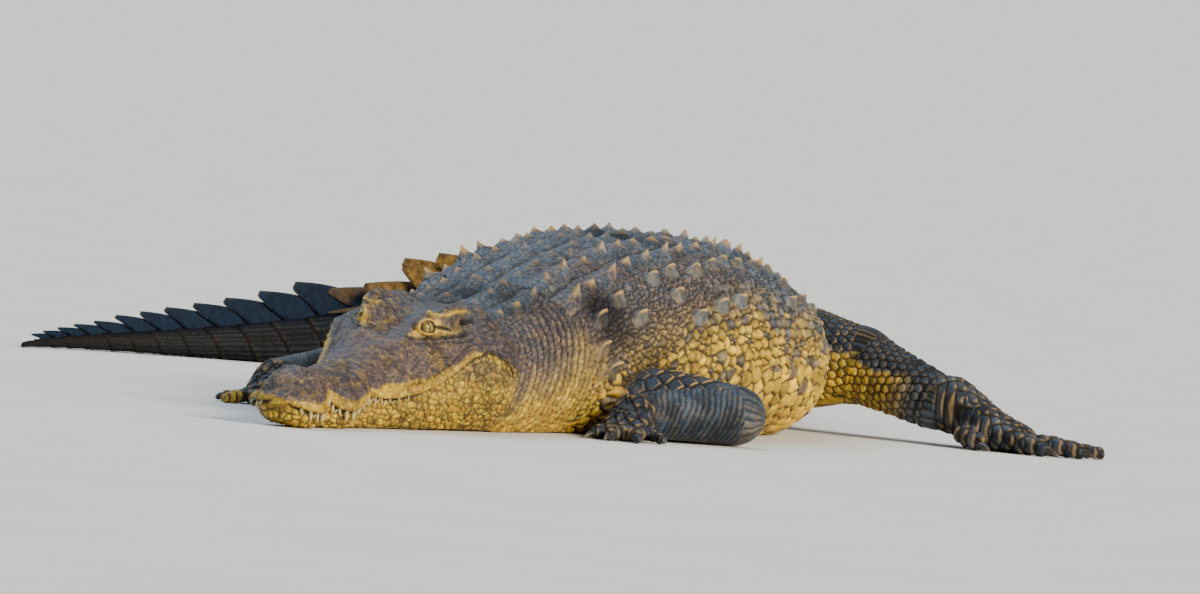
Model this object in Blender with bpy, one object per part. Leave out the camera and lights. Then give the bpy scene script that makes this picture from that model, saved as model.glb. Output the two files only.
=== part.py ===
"""A resting Nile crocodile, life size, as a still museum model.

Units are metres, +Z is up and the crocodile faces -Y, with its left side towards +X.
The origin is on the floor under its shoulders. Every place on the body is given by s,
the distance along the backbone from the shoulders (negative towards the snout), by the
sideways distance from the midline, and by the height above the floor.
"""

import math

import bmesh
import bpy
import numpy as np
from mathutils import Matrix, Vector

# ---- Driving dimensions -------------------------------------------------------------
HEAD_LENGTH = 0.56  # snout tip to the back of the skull table
NECK_LENGTH = 0.31  # skull table to shoulder joints
TRUNK_LENGTH = 0.97  # shoulder joints to hip joints
TAIL_LENGTH = 2.19  # hip joints to tail tip
TAIL_ROOT = 1.08  # s where the tail begins, just behind the hips
HEAD_ROLL = 6.0  # degrees that the head leans over to its left side
HEAD_AXIS = 0.060  # height of the line that the head leans about

# Bend of the backbone: s against degrees turned towards the crocodile's right
BACKBONE_BEND = (
    (-0.31, 2.0), (0.00, 0.0), (0.25, 0.0), (0.97, 18.0), (1.55, 28.0),
    (2.10, 100.0), (2.40, 122.0), (2.90, 150.0), (3.16, 185.0),
)

GAP = 0.0004  # clearance between neighbouring solids
SNOUT_S = -NECK_LENGTH - HEAD_LENGTH
HEAD_REAR = 0.585  # head's solids end this far behind the snout tip
NECK_END = -0.10  # s where the neck's solid ends and the trunk's begins
TAIL_TIP_S = TRUNK_LENGTH + TAIL_LENGTH

# Flesh outline: s, half width, height of the back, height of the widest part
BODY = (
    (-0.305, 0.150, 0.194, 0.085),
    (-0.18, 0.168, 0.214, 0.095),
    (0.00, 0.206, 0.262, 0.110),
    (0.20, 0.248, 0.304, 0.122),
    (0.42, 0.280, 0.320, 0.128),
    (0.62, 0.286, 0.310, 0.128),
    (0.80, 0.246, 0.262, 0.120),
    (0.97, 0.176, 0.218, 0.108),
    (1.08, 0.140, 0.208, 0.102),
    (1.30, 0.124, 0.210, 0.100),
    (1.60, 0.108, 0.206, 0.096),
    (2.00, 0.088, 0.196, 0.088),
    (2.30, 0.066, 0.148, 0.064),
    (2.46, 0.052, 0.102, 0.047),
    (2.60, 0.041, 0.074, 0.035),
    (2.76, 0.030, 0.051, 0.025),
    (2.94, 0.018, 0.033, 0.016),
    (3.16, 0.005, 0.012, 0.006),
)

# Dorsal scutes: six keeled rows, one crosswise band every SCUTE_PITCH
SCUTE_PITCH = 0.064
SCUTE_WIDTH = 0.052
KEEL_ROWS = (0.5, 1.5, 2.5)  # sideways places of the keels, in scute widths
KEEL_HEIGHT = (0.013, 0.015, 0.020)
KEEL_PEAK = 0.70  # share of a scute's length at which its keel peaks

# Tail crest: two rows of blades that give way to a single row
CREST_START = TAIL_ROOT
CREST_JOIN = (2.28, 2.48)  # s over which the double crest fades and the single one rises
CREST_PITCH = ((1.08, 0.064), (2.10, 0.067), (2.55, 0.066), (2.80, 0.052), (3.16, 0.036))
DOUBLE_CREST = ((1.08, 0.018), (1.50, 0.042), (1.90, 0.058), (2.25, 0.074), (2.40, 0.066), (3.16, 0.0))
SINGLE_CREST = (
    (1.08, 0.0), (2.35, 0.052), (2.48, 0.057), (2.64, 0.045), (2.80, 0.030), (2.95, 0.018), (3.16, 0.004),
)
CREST_NOTCH = 0.40  # height of the crest between two blades, as a share of theirs
CREST_SWEEP = 0.62  # how far a blade's tip leans back, in blade lengths

# Head: distance behind the snout tip against half width, mouth line and midline top
HEAD_WIDTH = (
    (0.000, 0.018), (0.012, 0.037), (0.032, 0.052), (0.058, 0.055), (0.088, 0.045),
    (0.120, 0.055), (0.155, 0.064), (0.200, 0.062), (0.250, 0.068), (0.310, 0.084),
    (0.370, 0.105), (0.420, 0.121), (0.480, 0.136), (0.540, 0.148), (0.585, 0.150),
)
MOUTH_LINE = (
    (0.000, 0.034), (0.030, 0.027), (0.062, 0.026), (0.088, 0.043), (0.118, 0.033),
    (0.148, 0.030), (0.185, 0.042), (0.215, 0.053), (0.262, 0.052), (0.310, 0.060),
    (0.360, 0.078), (0.400, 0.104), (0.440, 0.131), (0.470, 0.136), (0.520, 0.122),
    (0.585, 0.100),
)
HEAD_TOP = (
    (0.000, 0.050), (0.012, 0.066), (0.034, 0.085), (0.058, 0.092), (0.085, 0.086),
    (0.120, 0.086), (0.170, 0.092), (0.230, 0.104), (0.290, 0.124), (0.335, 0.145),
    (0.375, 0.163), (0.420, 0.178), (0.480, 0.193), (0.540, 0.198), (0.585, 0.199),
)
# Fullness of the head's section: 2 is a quarter ellipse, less is closer to a roof
HEAD_FULLNESS = ((0.000, 2.4), (0.240, 2.3), (0.320, 1.9), (0.400, 1.55), (0.480, 1.65), (0.585, 2.1))
HEAD_STATIONS = (
    0.000, 0.012, 0.032, 0.058, 0.073, 0.088, 0.103, 0.120, 0.148, 0.185,
    0.215, 0.262, 0.310, 0.355, 0.390, 0.425, 0.470, 0.525, 0.585,
)
JAW_TOOTH_STEP = 0.007  # how far the lower jaw's sides lie inside the upper lip's
MOUTH_CORNER = 0.430  # distance behind the snout tip where the lips meet
NOTCH = 0.088  # distance behind the snout tip of the notches for the fourth lower teeth

# Head bumps: distance behind the snout tip, place up the section (0 lip, 1 midline),
# their two radii and the height of the bump
HEAD_BUMPS = (
    (0.044, 0.96, 0.022, 0.30, 0.005),  # nostril mound
    (0.426, 0.68, 0.040, 0.11, 0.042),  # brow over the eye
    (0.478, 0.68, 0.040, 0.11, 0.018),  # edge of the skull table
    (0.540, 0.70, 0.036, 0.12, 0.018),  # horn-like rear corner of the skull table
    (0.338, 0.70, 0.040, 0.12, 0.010),  # ridge in front of the eye
    (0.410, 1.00, 0.060, 0.13, -0.012),  # hollow between the eyes
    (0.500, 0.25, 0.070, 0.25, 0.006),  # jaw muscle
)

EYE_RADIUS = 0.0165
EYE_CENTRE = (0.390, 0.0490, 0.1600)  # behind the snout tip, sideways, height

# Limbs: joints as (x, y, z), then radii at each joint
ARM_RADII = (0.056, 0.053, 0.043, 0.036)
LEG_RADII = (0.095, 0.074, 0.060, 0.048)
LIMB_SWELL = (0.004, 0.003)  # how much fuller the upper and the lower length are in the middle
LIMBS = {
    "left_arm": ((0.150, 0.020, 0.062), (0.360, 0.110, 0.050), (0.250, -0.035, 0.040)),
    "right_arm": ((-0.150, 0.020, 0.062), (-0.335, 0.050, 0.050), (-0.350, -0.130, 0.040)),
    "left_leg": ((0.000, 0.985, 0.130), (0.188, 1.012, 0.122), (0.347, 0.994, 0.072)),
    "right_leg": ((-0.205, 0.905, 0.118), (-0.400, 0.760, 0.090), (-0.425, 0.945, 0.050)),
}
# Feet: heading of the middle toe in degrees from +X, and the length from wrist or
# ankle to the tip of the longest toe
FEET = {
    "left_arm": (-85.0, 0.150),
    "right_arm": (-80.0, 0.150),
    "left_leg": (3.0, 0.300),
    "right_leg": (202.0, 0.300),
}
HAND_TOES = (
    (-44, 0.66, 0.0115), (-21, 0.90, 0.0125), (0, 1.00, 0.0125), (24, 0.95, 0.0110), (50, 0.76, 0.0100),
)
FOOT_TOES = ((-40, 0.58, 0.0170), (-14, 0.86, 0.0185), (2, 1.00, 0.0180), (18, 0.98, 0.0150))
CLAWED_TOES = 3  # the inner three toes of every foot carry claws

HIDE_GREY = (0.135, 0.120, 0.098, 1.0)
BELLY_YELLOW = (0.420, 0.330, 0.150, 1.0)
LIMB_BROWN = (0.110, 0.088, 0.062, 1.0)
CLAW_HORN = (0.050, 0.042, 0.034, 1.0)
EYE_AMBER = (0.420, 0.300, 0.090, 1.0)


# ---- Small tools --------------------------------------------------------------------
def blend(x, table, column=1):
    """Smooth value of a table's column at x, through its rows, with no overshoot."""
    xs = np.array([row[0] for row in table])
    ys = np.array([row[column] for row in table])
    x = np.clip(x, xs[0], xs[-1])
    slopes = np.diff(ys) / np.diff(xs)
    ends = np.concatenate([[slopes[0]], slopes, [slopes[-1]]])
    left, right = ends[:-1], ends[1:]
    same = left * right > 0
    tangents = np.where(same, 2 * left * right / np.where(same, left + right, 1.0), 0.0)
    i = np.clip(np.searchsorted(xs, x, side="right") - 1, 0, len(xs) - 2)
    span = xs[i + 1] - xs[i]
    u = (x - xs[i]) / span
    return (
        ys[i] * (1 + 2 * u) * (1 - u) ** 2
        + ys[i + 1] * u * u * (3 - 2 * u)
        + span * tangents[i] * u * (1 - u) ** 2
        + span * tangents[i + 1] * u * u * (u - 1)
    )


def ease(x):
    """0 below 0, 1 above 1, and a smooth rise between."""
    x = min(max(x, 0.0), 1.0)
    return x * x * (3 - 2 * x)


def heading(s):
    """Direction of the backbone at s, in degrees from +X, looking towards the tail."""
    return 90.0 + float(blend(s, BACKBONE_BEND))


def backbone():
    """Places along the backbone every millimetre, as arrays of s, x and y."""
    s = np.arange(SNOUT_S - 0.1, TAIL_TIP_S + 0.1, 0.001)
    turns = np.radians([heading(v) for v in s])
    x = np.cumsum(np.cos(turns)) * 0.001
    y = np.cumsum(np.sin(turns)) * 0.001
    return s, x - np.interp(0.0, s, x), y - np.interp(0.0, s, y)


SPINE = backbone()


def place(s, side, height):
    """World point at s along the backbone, side metres to the left, height above the floor."""
    lean = math.radians(HEAD_ROLL) * ease(-s / NECK_LENGTH)
    if lean:
        side, height = (
            side * math.cos(lean) + (height - HEAD_AXIS) * math.sin(lean),
            max(0.0, HEAD_AXIS + (height - HEAD_AXIS) * math.cos(lean) - side * math.sin(lean)),
        )
    turn = math.radians(heading(s))
    x = float(np.interp(s, SPINE[0], SPINE[1]))
    y = float(np.interp(s, SPINE[0], SPINE[2]))
    return Vector((x + side * math.sin(turn), y - side * math.cos(turn), height))


def collection(name):
    """A new collection in the scene."""
    made = bpy.data.collections.new(name)
    bpy.context.scene.collection.children.link(made)
    return made


def material(name, colour, roughness):
    """A plain Principled material."""
    made = bpy.data.materials.new(name)
    made.use_nodes = True
    shader = made.node_tree.nodes["Principled BSDF"]
    shader.inputs["Base Color"].default_value = colour
    shader.inputs["Roughness"].default_value = roughness
    shader.inputs["Metallic"].default_value = 0.0
    made.diffuse_color = colour
    return made


def solid(name, mesh, group, finish=None):
    """An object of this mesh in a collection, with outward faces and smooth shading."""
    mesh.name = name
    made = bpy.data.objects.new(name, mesh)
    group.objects.link(made)
    if finish:
        mesh.materials.append(finish)
    mesh.shade_smooth()
    mesh.set_sharp_from_angle(angle=math.radians(40))
    return made


def loft(rings):
    """Closed mesh through rings of equally many points, with flat caps at both ends."""
    work = bmesh.new()
    made = [[work.verts.new(point) for point in ring] for ring in rings]
    count = len(rings[0])
    for first, second in zip(made, made[1:]):
        for k in range(count):
            after = (k + 1) % count
            work.faces.new((first[k], first[after], second[after], second[k]))
    work.faces.new(made[0])
    work.faces.new(list(reversed(made[-1])))
    bmesh.ops.triangulate(work, faces=work.faces[:])
    bmesh.ops.recalc_face_normals(work, faces=work.faces[:])
    mesh = bpy.data.meshes.new("loft")
    work.to_mesh(mesh)
    work.free()
    return mesh


def helper(source, name, grow=GAP * 1.6):
    """A wire copy of a solid's own mesh, moved outwards by grow, that cuts its neighbours."""
    work = bmesh.new()
    work.from_mesh(source.data)
    work.normal_update()
    for vert in work.verts:
        vert.co += vert.normal * grow * min(vert.calc_shell_factor(), 2.0)
    mesh = bpy.data.meshes.new(name)
    work.to_mesh(mesh)
    work.free()
    made = bpy.data.objects.new(name, mesh)
    CUTTERS.objects.link(made)
    made.hide_render = True
    made.display_type = "WIRE"
    return made


def combine(target, other, operation):
    """Adds a Boolean modifier of other, and makes other a hidden helper."""
    made = target.modifiers.new(f"{operation}_{other.name}", "BOOLEAN")
    made.operation = operation
    made.object = other
    made.solver = "EXACT"
    other.hide_render = True
    other.display_type = "WIRE"


# ---- Neck, trunk and tail -----------------------------------------------------------
def flesh(s):
    """Half width, back height and height of the widest part at s."""
    return tuple(float(blend(s, BODY, column)) for column in (1, 2, 3))


def upper(s, side, lift=0.0):
    """Point on the back at a sideways distance, raised by lift along the surface's normal."""
    width, top, waist = flesh(s)
    power = 2.15
    share = min(abs(side) / width, 0.999)
    rise = (1 - share**power) ** (1 / power)
    normal = Vector((share ** (power - 1) / width, rise ** (power - 1) / (top - waist)))
    normal.normalize()
    out = math.copysign(1.0, side) if side else 0.0
    return side + out * normal.x * lift, waist + (top - waist) * rise + normal.y * lift


def lower(s, angle):
    """Left-hand point of the flank or belly, at degrees below the widest part."""
    width, _, waist = flesh(s)
    turn = math.radians(angle)
    return width * math.cos(turn) ** 0.60, max(0.0, waist * (1 - 1.15 * math.sin(turn) ** 0.9))


def mirrored(half, midline=True):
    """Full ring from the left half, which runs from below upwards and may end on the midline."""
    return half + [(-side, height) for side, height in reversed(half[:-1] if midline else half)]


def scute_ring(s, keel):
    """Ring round the neck or trunk, with its keels raised by a share of their height."""
    width = flesh(s)[0]
    pitch = min(SCUTE_WIDTH, 0.30 * width)
    half = [lower(s, angle) for angle in (62, 34, 6)]
    half.append(upper(s, width * 0.93))
    for row, height in reversed(list(zip(KEEL_ROWS, KEEL_HEIGHT))):
        half.append(upper(s, pitch * (row + 0.5)))
        half.append(upper(s, pitch * row, keel * height))
    half.append(upper(s, 0.0))
    return [place(s, side, height) for side, height in mirrored(half)]


def banded(start, end):
    """Rings from start to end: a low one at each band's front and a high one at its peak."""
    bands = round((end - start) / SCUTE_PITCH)
    pitch = (end - start) / bands
    rings = []
    for band in range(bands):
        front = start + band * pitch
        rings.append(scute_ring(front, 0.15))
        rings.append(scute_ring(front + KEEL_PEAK * pitch, 1.0))
    rings.append(scute_ring(end, 0.15))
    return rings


def crest_ring(s, raised, lean):
    """Ring round the tail. raised is the share of the crest's height, lean moves its tips back."""
    width, top, waist = flesh(s)
    single = float(blend(s, SINGLE_CREST)) * ease((s - CREST_JOIN[0]) / (CREST_JOIN[1] - CREST_JOIN[0]))
    double = float(blend(s, DOUBLE_CREST)) * ease((CREST_JOIN[1] - s) / (CREST_JOIN[1] - CREST_JOIN[0]))
    blade = min(0.007, 0.30 * width)
    corner = (0.16 + 0.36 * ease((CREST_JOIN[1] - s) / (CREST_JOIN[1] - CREST_JOIN[0]))) * width
    tips = []
    half = [(*lower(s, 62), 0.0)]
    half += [(*upper(s, width * share), 0.0) for share in (0.995, 0.80)]
    half.append((*upper(s, corner + blade), 0.0))
    side, height = upper(s, corner)
    half.append((side + 0.30 * double * raised, height + double * raised, lean * ease(double / 0.01)))
    half.append((*upper(s, corner - blade), 0.0))
    half.append((0.0, top + single * raised, lean * ease(single / 0.01)))
    for side, height, back in half + [(-a, b, c) for a, b, c in reversed(half[:-1])]:
        tips.append(place(s + back, side, height))
    return tips


def whorls():
    """Places of the tail's whorls along the backbone, from the root to the tip."""
    found = [CREST_START]
    while found[-1] + float(blend(found[-1], CREST_PITCH)) < TAIL_TIP_S - 0.02:
        found.append(found[-1] + float(blend(found[-1], CREST_PITCH)))
    return found


def tail_lengths(count):
    """The tail as lists of rings, cut between whorls into lengths that meet with a gap."""
    places = whorls()
    ends = [round(k * (len(places) - 1) / count) for k in range(count + 1)]
    for first, last in zip(ends, ends[1:]):
        rings = [crest_ring(places[first] + GAP, CREST_NOTCH, 0.0)]
        for k in range(first, last):
            pitch = places[k + 1] - places[k]
            rings.append(crest_ring(places[k] + 0.62 * pitch, 1.0, CREST_SWEEP * 0.5 * pitch))
            low = places[k + 1] - (GAP if k == last - 1 else 0.0)
            rings.append(crest_ring(low, CREST_NOTCH, 0.0))
        if last == len(places) - 1:
            rings.append(crest_ring(TAIL_TIP_S - 0.004, 0.0, 0.0))
        yield rings


# ---- Head ---------------------------------------------------------------------------
def bumps(t, q):
    """Height that the head's bumps add at t behind the snout tip and q up the section."""
    total = 0.0
    for centre, up, along, across, height in HEAD_BUMPS:
        total += height * math.exp(-(((t - centre) / along) ** 2) - ((q - up) / across) ** 2)
    return total


def skull_point(t, q):
    """Sideways distance and height on the right half of the upper head."""
    width = float(blend(t, HEAD_WIDTH))
    lip = float(blend(t, MOUTH_LINE))
    top = float(blend(t, HEAD_TOP))
    power = float(blend(t, HEAD_FULLNESS))
    turn = q * math.pi / 2
    side = width * math.cos(turn) ** (2 / power)
    rise = math.sin(turn) ** (2 / power)
    normal = Vector((math.cos(turn), math.sin(turn)))
    lift = bumps(t, q)
    return side + normal.x * lift, lip + (top - lip) * rise + normal.y * lift


def skull_ring(t):
    """Ring of the upper head at t, flat underneath, along the closed mouth."""
    lip = float(blend(t, MOUTH_LINE)) + GAP
    width = float(blend(t, HEAD_WIDTH))
    half = [(0.80 * width, lip)]
    for q in (0.0, 0.20, 0.42, 0.60, 0.72, 0.84):
        side, height = skull_point(t, q)
        half.append((side, max(height, lip)))
    half.append((0.0, skull_point(t, 1.0)[1]))
    return [place(SNOUT_S + t, side, height) for side, height in mirrored(half)]


def jaw_ring(t):
    """Ring of the lower jaw at t, lying flat on the floor behind its chin."""
    lip = float(blend(t, MOUTH_LINE)) - GAP
    inset = JAW_TOOTH_STEP * (1 - ease((t - MOUTH_CORNER + 0.08) / 0.08))
    inset *= 1 - math.exp(-(((t - NOTCH) / 0.012) ** 2))
    width = float(blend(t, HEAD_WIDTH)) - inset
    chin = 0.012 * (1 - ease(t / 0.05))
    half = [(0.58 * width, chin), (0.86 * width, chin + 0.22 * (lip - chin))]
    half += [(1.01 * width, chin + 0.62 * (lip - chin)), (width, lip)]
    return [place(SNOUT_S + t, side, height) for side, height in mirrored(half, midline=False)]


def tooth(t, side, length, radius, up):
    """Rings of one tooth at t: a four-sided cone that hangs down, or stands up."""
    lip = float(blend(t, MOUTH_LINE))
    sign = 1.0 if up else -1.0
    edge = float(blend(t, HEAD_WIDTH)) - (0.5 * JAW_TOOTH_STEP)
    if up:
        edge += 0.3 * JAW_TOOTH_STEP
    rings = []
    for share, size in ((-0.35, 1.0), (1.0, 0.16)):
        ring = []
        for k in range(4):
            turn = 2 * math.pi * k / 4
            along = radius * size * math.cos(turn)
            across = 0.55 * radius * size * math.sin(turn)
            ring.append(place(SNOUT_S + t + along, side * (edge + across), lip + sign * share * length))
        rings.append(ring)
    return rings


def joined(name, meshes):
    """One hidden helper object that holds several separate closed meshes."""
    work = bmesh.new()
    for mesh in meshes:
        work.from_mesh(mesh)
        bpy.data.meshes.remove(mesh)
    mesh = bpy.data.meshes.new(name)
    work.to_mesh(mesh)
    work.free()
    made = bpy.data.objects.new(name, mesh)
    CUTTERS.objects.link(made)
    return made


def upper_teeth():
    """Upper teeth that show outside the lower lip, on both sides."""
    places = [0.018, 0.038, 0.060, 0.108, 0.128, 0.150, 0.176, 0.206, 0.240, 0.276]
    made = []
    for t in places:
        big = math.exp(-(((t - 0.145) / 0.022) ** 2)) + 0.6 * math.exp(-(((t - 0.046) / 0.014) ** 2))
        length = 0.012 + 0.010 * big
        for side in (1, -1):
            made.append(loft(tooth(t, side, length, 0.0046 + 0.002 * big, False)))
    return joined("upper_teeth", made)


def lower_teeth():
    """The large fourth lower teeth, which stand in the upper lip's notches."""
    return joined("lower_teeth", [loft(tooth(NOTCH, side, 0.018, 0.0062, True)) for side in (1, -1)])


def build_head(group, finishes):
    """Skull with upper teeth, lower jaw with the fourth teeth, and both eyes."""
    skull = solid("skull", loft([skull_ring(t) for t in HEAD_STATIONS]), group, finishes["hide"])
    jaw = solid("lower_jaw", loft([jaw_ring(t) for t in HEAD_STATIONS[1:]]), group, finishes["belly"])
    combine(skull, upper_teeth(), "UNION")
    teeth = lower_teeth()
    combine(skull, helper(teeth, "lower_teeth_room"), "DIFFERENCE")
    combine(jaw, teeth, "UNION")
    for name, side in (("eye_left", 1), ("eye_right", -1)):
        t, out, height = EYE_CENTRE
        centre = place(SNOUT_S + t, side * out, height)
        solid(name, ball(centre, EYE_RADIUS), group, finishes["amber"])
        socket = solid(name + "_socket", ball(centre, EYE_RADIUS + 2 * GAP), CUTTERS)
        combine(skull, socket, "DIFFERENCE")


def ball(centre, radius):
    """Sphere mesh of nine by six faces."""
    work = bmesh.new()
    spot = Matrix.Translation(centre)
    bmesh.ops.create_uvsphere(work, u_segments=9, v_segments=6, radius=radius, matrix=spot)
    bmesh.ops.triangulate(work, faces=work.faces[:])
    mesh = bpy.data.meshes.new("ball")
    work.to_mesh(mesh)
    work.free()
    return mesh


# ---- Limbs --------------------------------------------------------------------------
def tube(points, radii, count=8, flatten=1.0, twist=0.0):
    """Rings round a path of points. Heights below the floor are laid flat on it."""
    rings = []
    for k, (point, radius) in enumerate(zip(points, radii)):
        ahead = points[min(k + 1, len(points) - 1)] - points[max(k - 1, 0)]
        across = ahead.cross(Vector((0, 0, 1))).normalized()
        up = across.cross(ahead).normalized()
        ring = []
        for j in range(count):
            turn = 2 * math.pi * (j + twist) / count
            spot = point + across * radius * math.cos(turn) + up * radius * flatten * math.sin(turn)
            ring.append(Vector((spot.x, spot.y, max(spot.z, 0.0))))
        rings.append(ring)
    return rings


def segment(start, end, first, last, swell):
    """Rings of a limb's length with rounded ends: radii first to last, fuller near its start."""
    start, end = Vector(start), Vector(end)
    along = (end - start).normalized()
    points, radii = [], []
    points.append(start - along * first * 0.55)
    radii.append(first * 0.60)
    for share in (0.0, 0.3, 0.65, 1.0):
        points.append(start.lerp(end, share))
        radii.append(first + (last - first) * share + swell * math.sin(math.pi * share**0.7))
    for share, size in ((0.60, 0.80), (0.90, 0.42)):
        points.append(end + along * last * share)
        radii.append(last * size)
    return tube(points, radii)


def palm(wrist, turn, length, radius, spread):
    """Rings of a hand or sole: from the wrist down to the roots of its toes."""
    ahead = Vector((math.cos(turn), math.sin(turn), 0.0))
    side = ahead.cross(Vector((0, 0, 1)))
    rings = []
    for share, width, top, bottom in (
        (0.35 * radius / length, 1.06, 1.06, -1.02), (0.24, spread * 0.82, 0.45, -1.0),
        (0.38, spread * 0.92, -0.20, -1.0), (0.58, spread * 1.04, -1.0, -1.0),
    ):
        high = max(wrist[2] + radius * top, radius * 0.42)
        low = max(0.0, wrist[2] + radius * bottom) * ease((0.34 - share) / 0.30)
        ring = []
        for j in range(8):
            angle = 2 * math.pi * j / 8
            spot = Vector((wrist[0], wrist[1], 0.0)) + ahead * length * share
            spot += side * radius * width * math.cos(angle)
            spot.z = min(max(0.5 * (high + low) + 0.56 * (high - low) * math.sin(angle), low), high)
            ring.append(spot)
        rings.append(ring)
    return rings


def toe(wrist, turn, length, reach, radius, root):
    """Rings of one toe lying on the floor, and where its claw grows."""
    ahead = Vector((math.cos(turn), math.sin(turn), 0.0))
    points, radii = [], []
    knuckles = ((root, 1.0, 1.45), (0.56, 0.95, 1.12), (0.80, 0.96, 0.94), (1.0, 0.60, 0.56))
    for share, size, height in knuckles:
        distance = length * reach * share
        points.append(Vector((wrist[0], wrist[1], 0.0)) + ahead * distance + Vector((0, 0, radius * height * 0.92)))
        radii.append(radius * size)
    return tube(points, radii, count=6, twist=0.25), points[-1], ahead


def claw(root, ahead, radius, length):
    """Rings of a curved claw from the toe's end down to the floor."""
    rings = []
    for share, size in ((0.0, 0.80), (0.50, 0.55), (1.0, 0.12)):
        drop = root.z - (root.z - radius * 0.12) * share**1.6
        centre = Vector((root.x, root.y, 0.0)) + ahead * (length * share - 0.4 * radius) + Vector((0, 0, drop))
        rings.append((centre, radius * size))
    return tube([c for c, _ in rings], [r for _, r in rings], count=4, flatten=1.1)


def build_limb(name, group, finishes, trunk_room):
    """Upper and lower length of a limb, its foot with toes, and its claws."""
    fore = name.endswith("arm")
    first, bend, last = LIMBS[name]
    radii = ARM_RADII if fore else LEG_RADII
    side = name.split("_")[0]
    titles = ("upper_arm", "forearm", "hand") if fore else ("thigh", "shank", "foot")
    degrees, length = FEET[name]
    upper_rings = segment(first, bend, radii[0], radii[1], LIMB_SWELL[0])
    lower_rings = segment(bend, last, radii[2], radii[3], LIMB_SWELL[1])
    top = solid(f"{side}_{titles[0]}", loft(upper_rings), group, finishes["limb"])
    low = solid(f"{side}_{titles[1]}", loft(lower_rings), group, finishes["limb"])
    turn = math.radians(degrees)
    spread = 1.25 if fore else 1.20
    foot = solid(f"{side}_{titles[2]}", loft(palm(last, turn, length, radii[3], spread)), group, finishes["limb"])
    toes = HAND_TOES if fore else FOOT_TOES
    if side == "right":
        toes = [(-angle, reach, radius) for angle, reach, radius in toes]
    for k, (angle, reach, radius) in enumerate(toes):
        clawed = k < CLAWED_TOES
        claw_length = 0.020 if fore else 0.030
        flesh_reach = reach - (claw_length / length if clawed else 0.0)
        rings, end, ahead = toe(last, turn + math.radians(angle * 0.9), length, flesh_reach, radius, 0.30)
        bit = solid(f"{foot.name}_toe_{k + 1}", loft(rings), CUTTERS)
        combine(foot, bit, "UNION")
        if clawed:
            mesh = loft(claw(end, ahead, radius * 0.56, claw_length))
            nail = solid(f"{foot.name}_claw_{k + 1}", mesh, group, finishes["horn"])
            combine(nail, helper(bit, bit.name + "_room"), "DIFFERENCE")
    top_room = helper(top, top.name + "_room")
    combine(top, trunk_room, "DIFFERENCE")
    combine(low, top_room, "DIFFERENCE")
    combine(low, trunk_room, "DIFFERENCE")
    low_room = helper(low, low.name + "_room")
    combine(foot, low_room, "DIFFERENCE")
    combine(foot, top_room, "DIFFERENCE")


def build():
    """The whole crocodile."""
    finishes = {
        "hide": material("dorsal_hide", HIDE_GREY, 0.62),
        "belly": material("flank_and_belly_hide", BELLY_YELLOW, 0.55),
        "limb": material("limb_hide", LIMB_BROWN, 0.60),
        "horn": material("claw_horn", CLAW_HORN, 0.35),
        "amber": material("eye", EYE_AMBER, 0.12),
    }
    build_head(BODY_PARTS, finishes)
    neck_start = SNOUT_S + HEAD_REAR
    solid("neck", loft(banded(neck_start + 2 * GAP, NECK_END - GAP)), BODY_PARTS, finishes["hide"])
    trunk = solid("trunk", loft(banded(NECK_END + GAP, TAIL_ROOT - GAP)), BODY_PARTS, finishes["hide"])
    names = ("tail_base", "tail_middle", "tail_end", "tail_tip")
    for name, rings in zip(names, tail_lengths(len(names))):
        solid(name, loft(rings), BODY_PARTS, finishes["hide"])
    trunk_room = helper(trunk, "trunk_room")
    for name in LIMBS:
        build_limb(name, BODY_PARTS, finishes, trunk_room)


for leftover in list(bpy.data.objects):
    bpy.data.objects.remove(leftover)
BODY_PARTS = collection("crocodile")
CUTTERS = collection("cutters")
build()
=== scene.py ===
"""Dresses the resting Nile crocodile: one skin, its scales, eyes, teeth, claws and crest.

Units are metres, +Z is up and the crocodile faces -Y, with its left side towards +X.
Every place on the body is given by s, the distance along the backbone from the shoulders
(negative towards the snout), by the sideways distance and by the height above the floor.
On the head, t is the distance behind the tip of the snout.
"""

from __future__ import annotations

import logging
import math
from collections.abc import Callable, Iterator
from dataclasses import dataclass
from enum import Enum
from functools import partial

import bmesh
import bpy
import numpy as np
from bpy.types import ID, Material, Mesh, NodeSocket, NodeTree, Object
from mathutils import Matrix, Vector

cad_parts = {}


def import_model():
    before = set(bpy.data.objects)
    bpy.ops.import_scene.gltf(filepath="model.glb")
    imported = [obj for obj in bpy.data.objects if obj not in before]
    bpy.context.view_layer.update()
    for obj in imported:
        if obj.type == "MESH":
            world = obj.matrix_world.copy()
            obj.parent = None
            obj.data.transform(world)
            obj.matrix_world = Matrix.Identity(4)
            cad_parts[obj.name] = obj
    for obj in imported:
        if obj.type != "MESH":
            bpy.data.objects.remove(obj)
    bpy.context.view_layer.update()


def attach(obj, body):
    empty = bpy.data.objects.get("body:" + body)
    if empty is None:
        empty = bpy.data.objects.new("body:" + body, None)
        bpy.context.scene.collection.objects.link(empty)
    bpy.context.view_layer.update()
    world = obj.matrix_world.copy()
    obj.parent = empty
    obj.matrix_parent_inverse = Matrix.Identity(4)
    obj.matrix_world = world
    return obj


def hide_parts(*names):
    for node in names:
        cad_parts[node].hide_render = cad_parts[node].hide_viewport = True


LOG = logging.getLogger("crocodile")

Array = np.ndarray
Values = float | Array
Table = tuple[tuple[float, ...], ...]
Loft = tuple[Array, list[tuple[int, ...]]]  # vertices and faces

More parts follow.
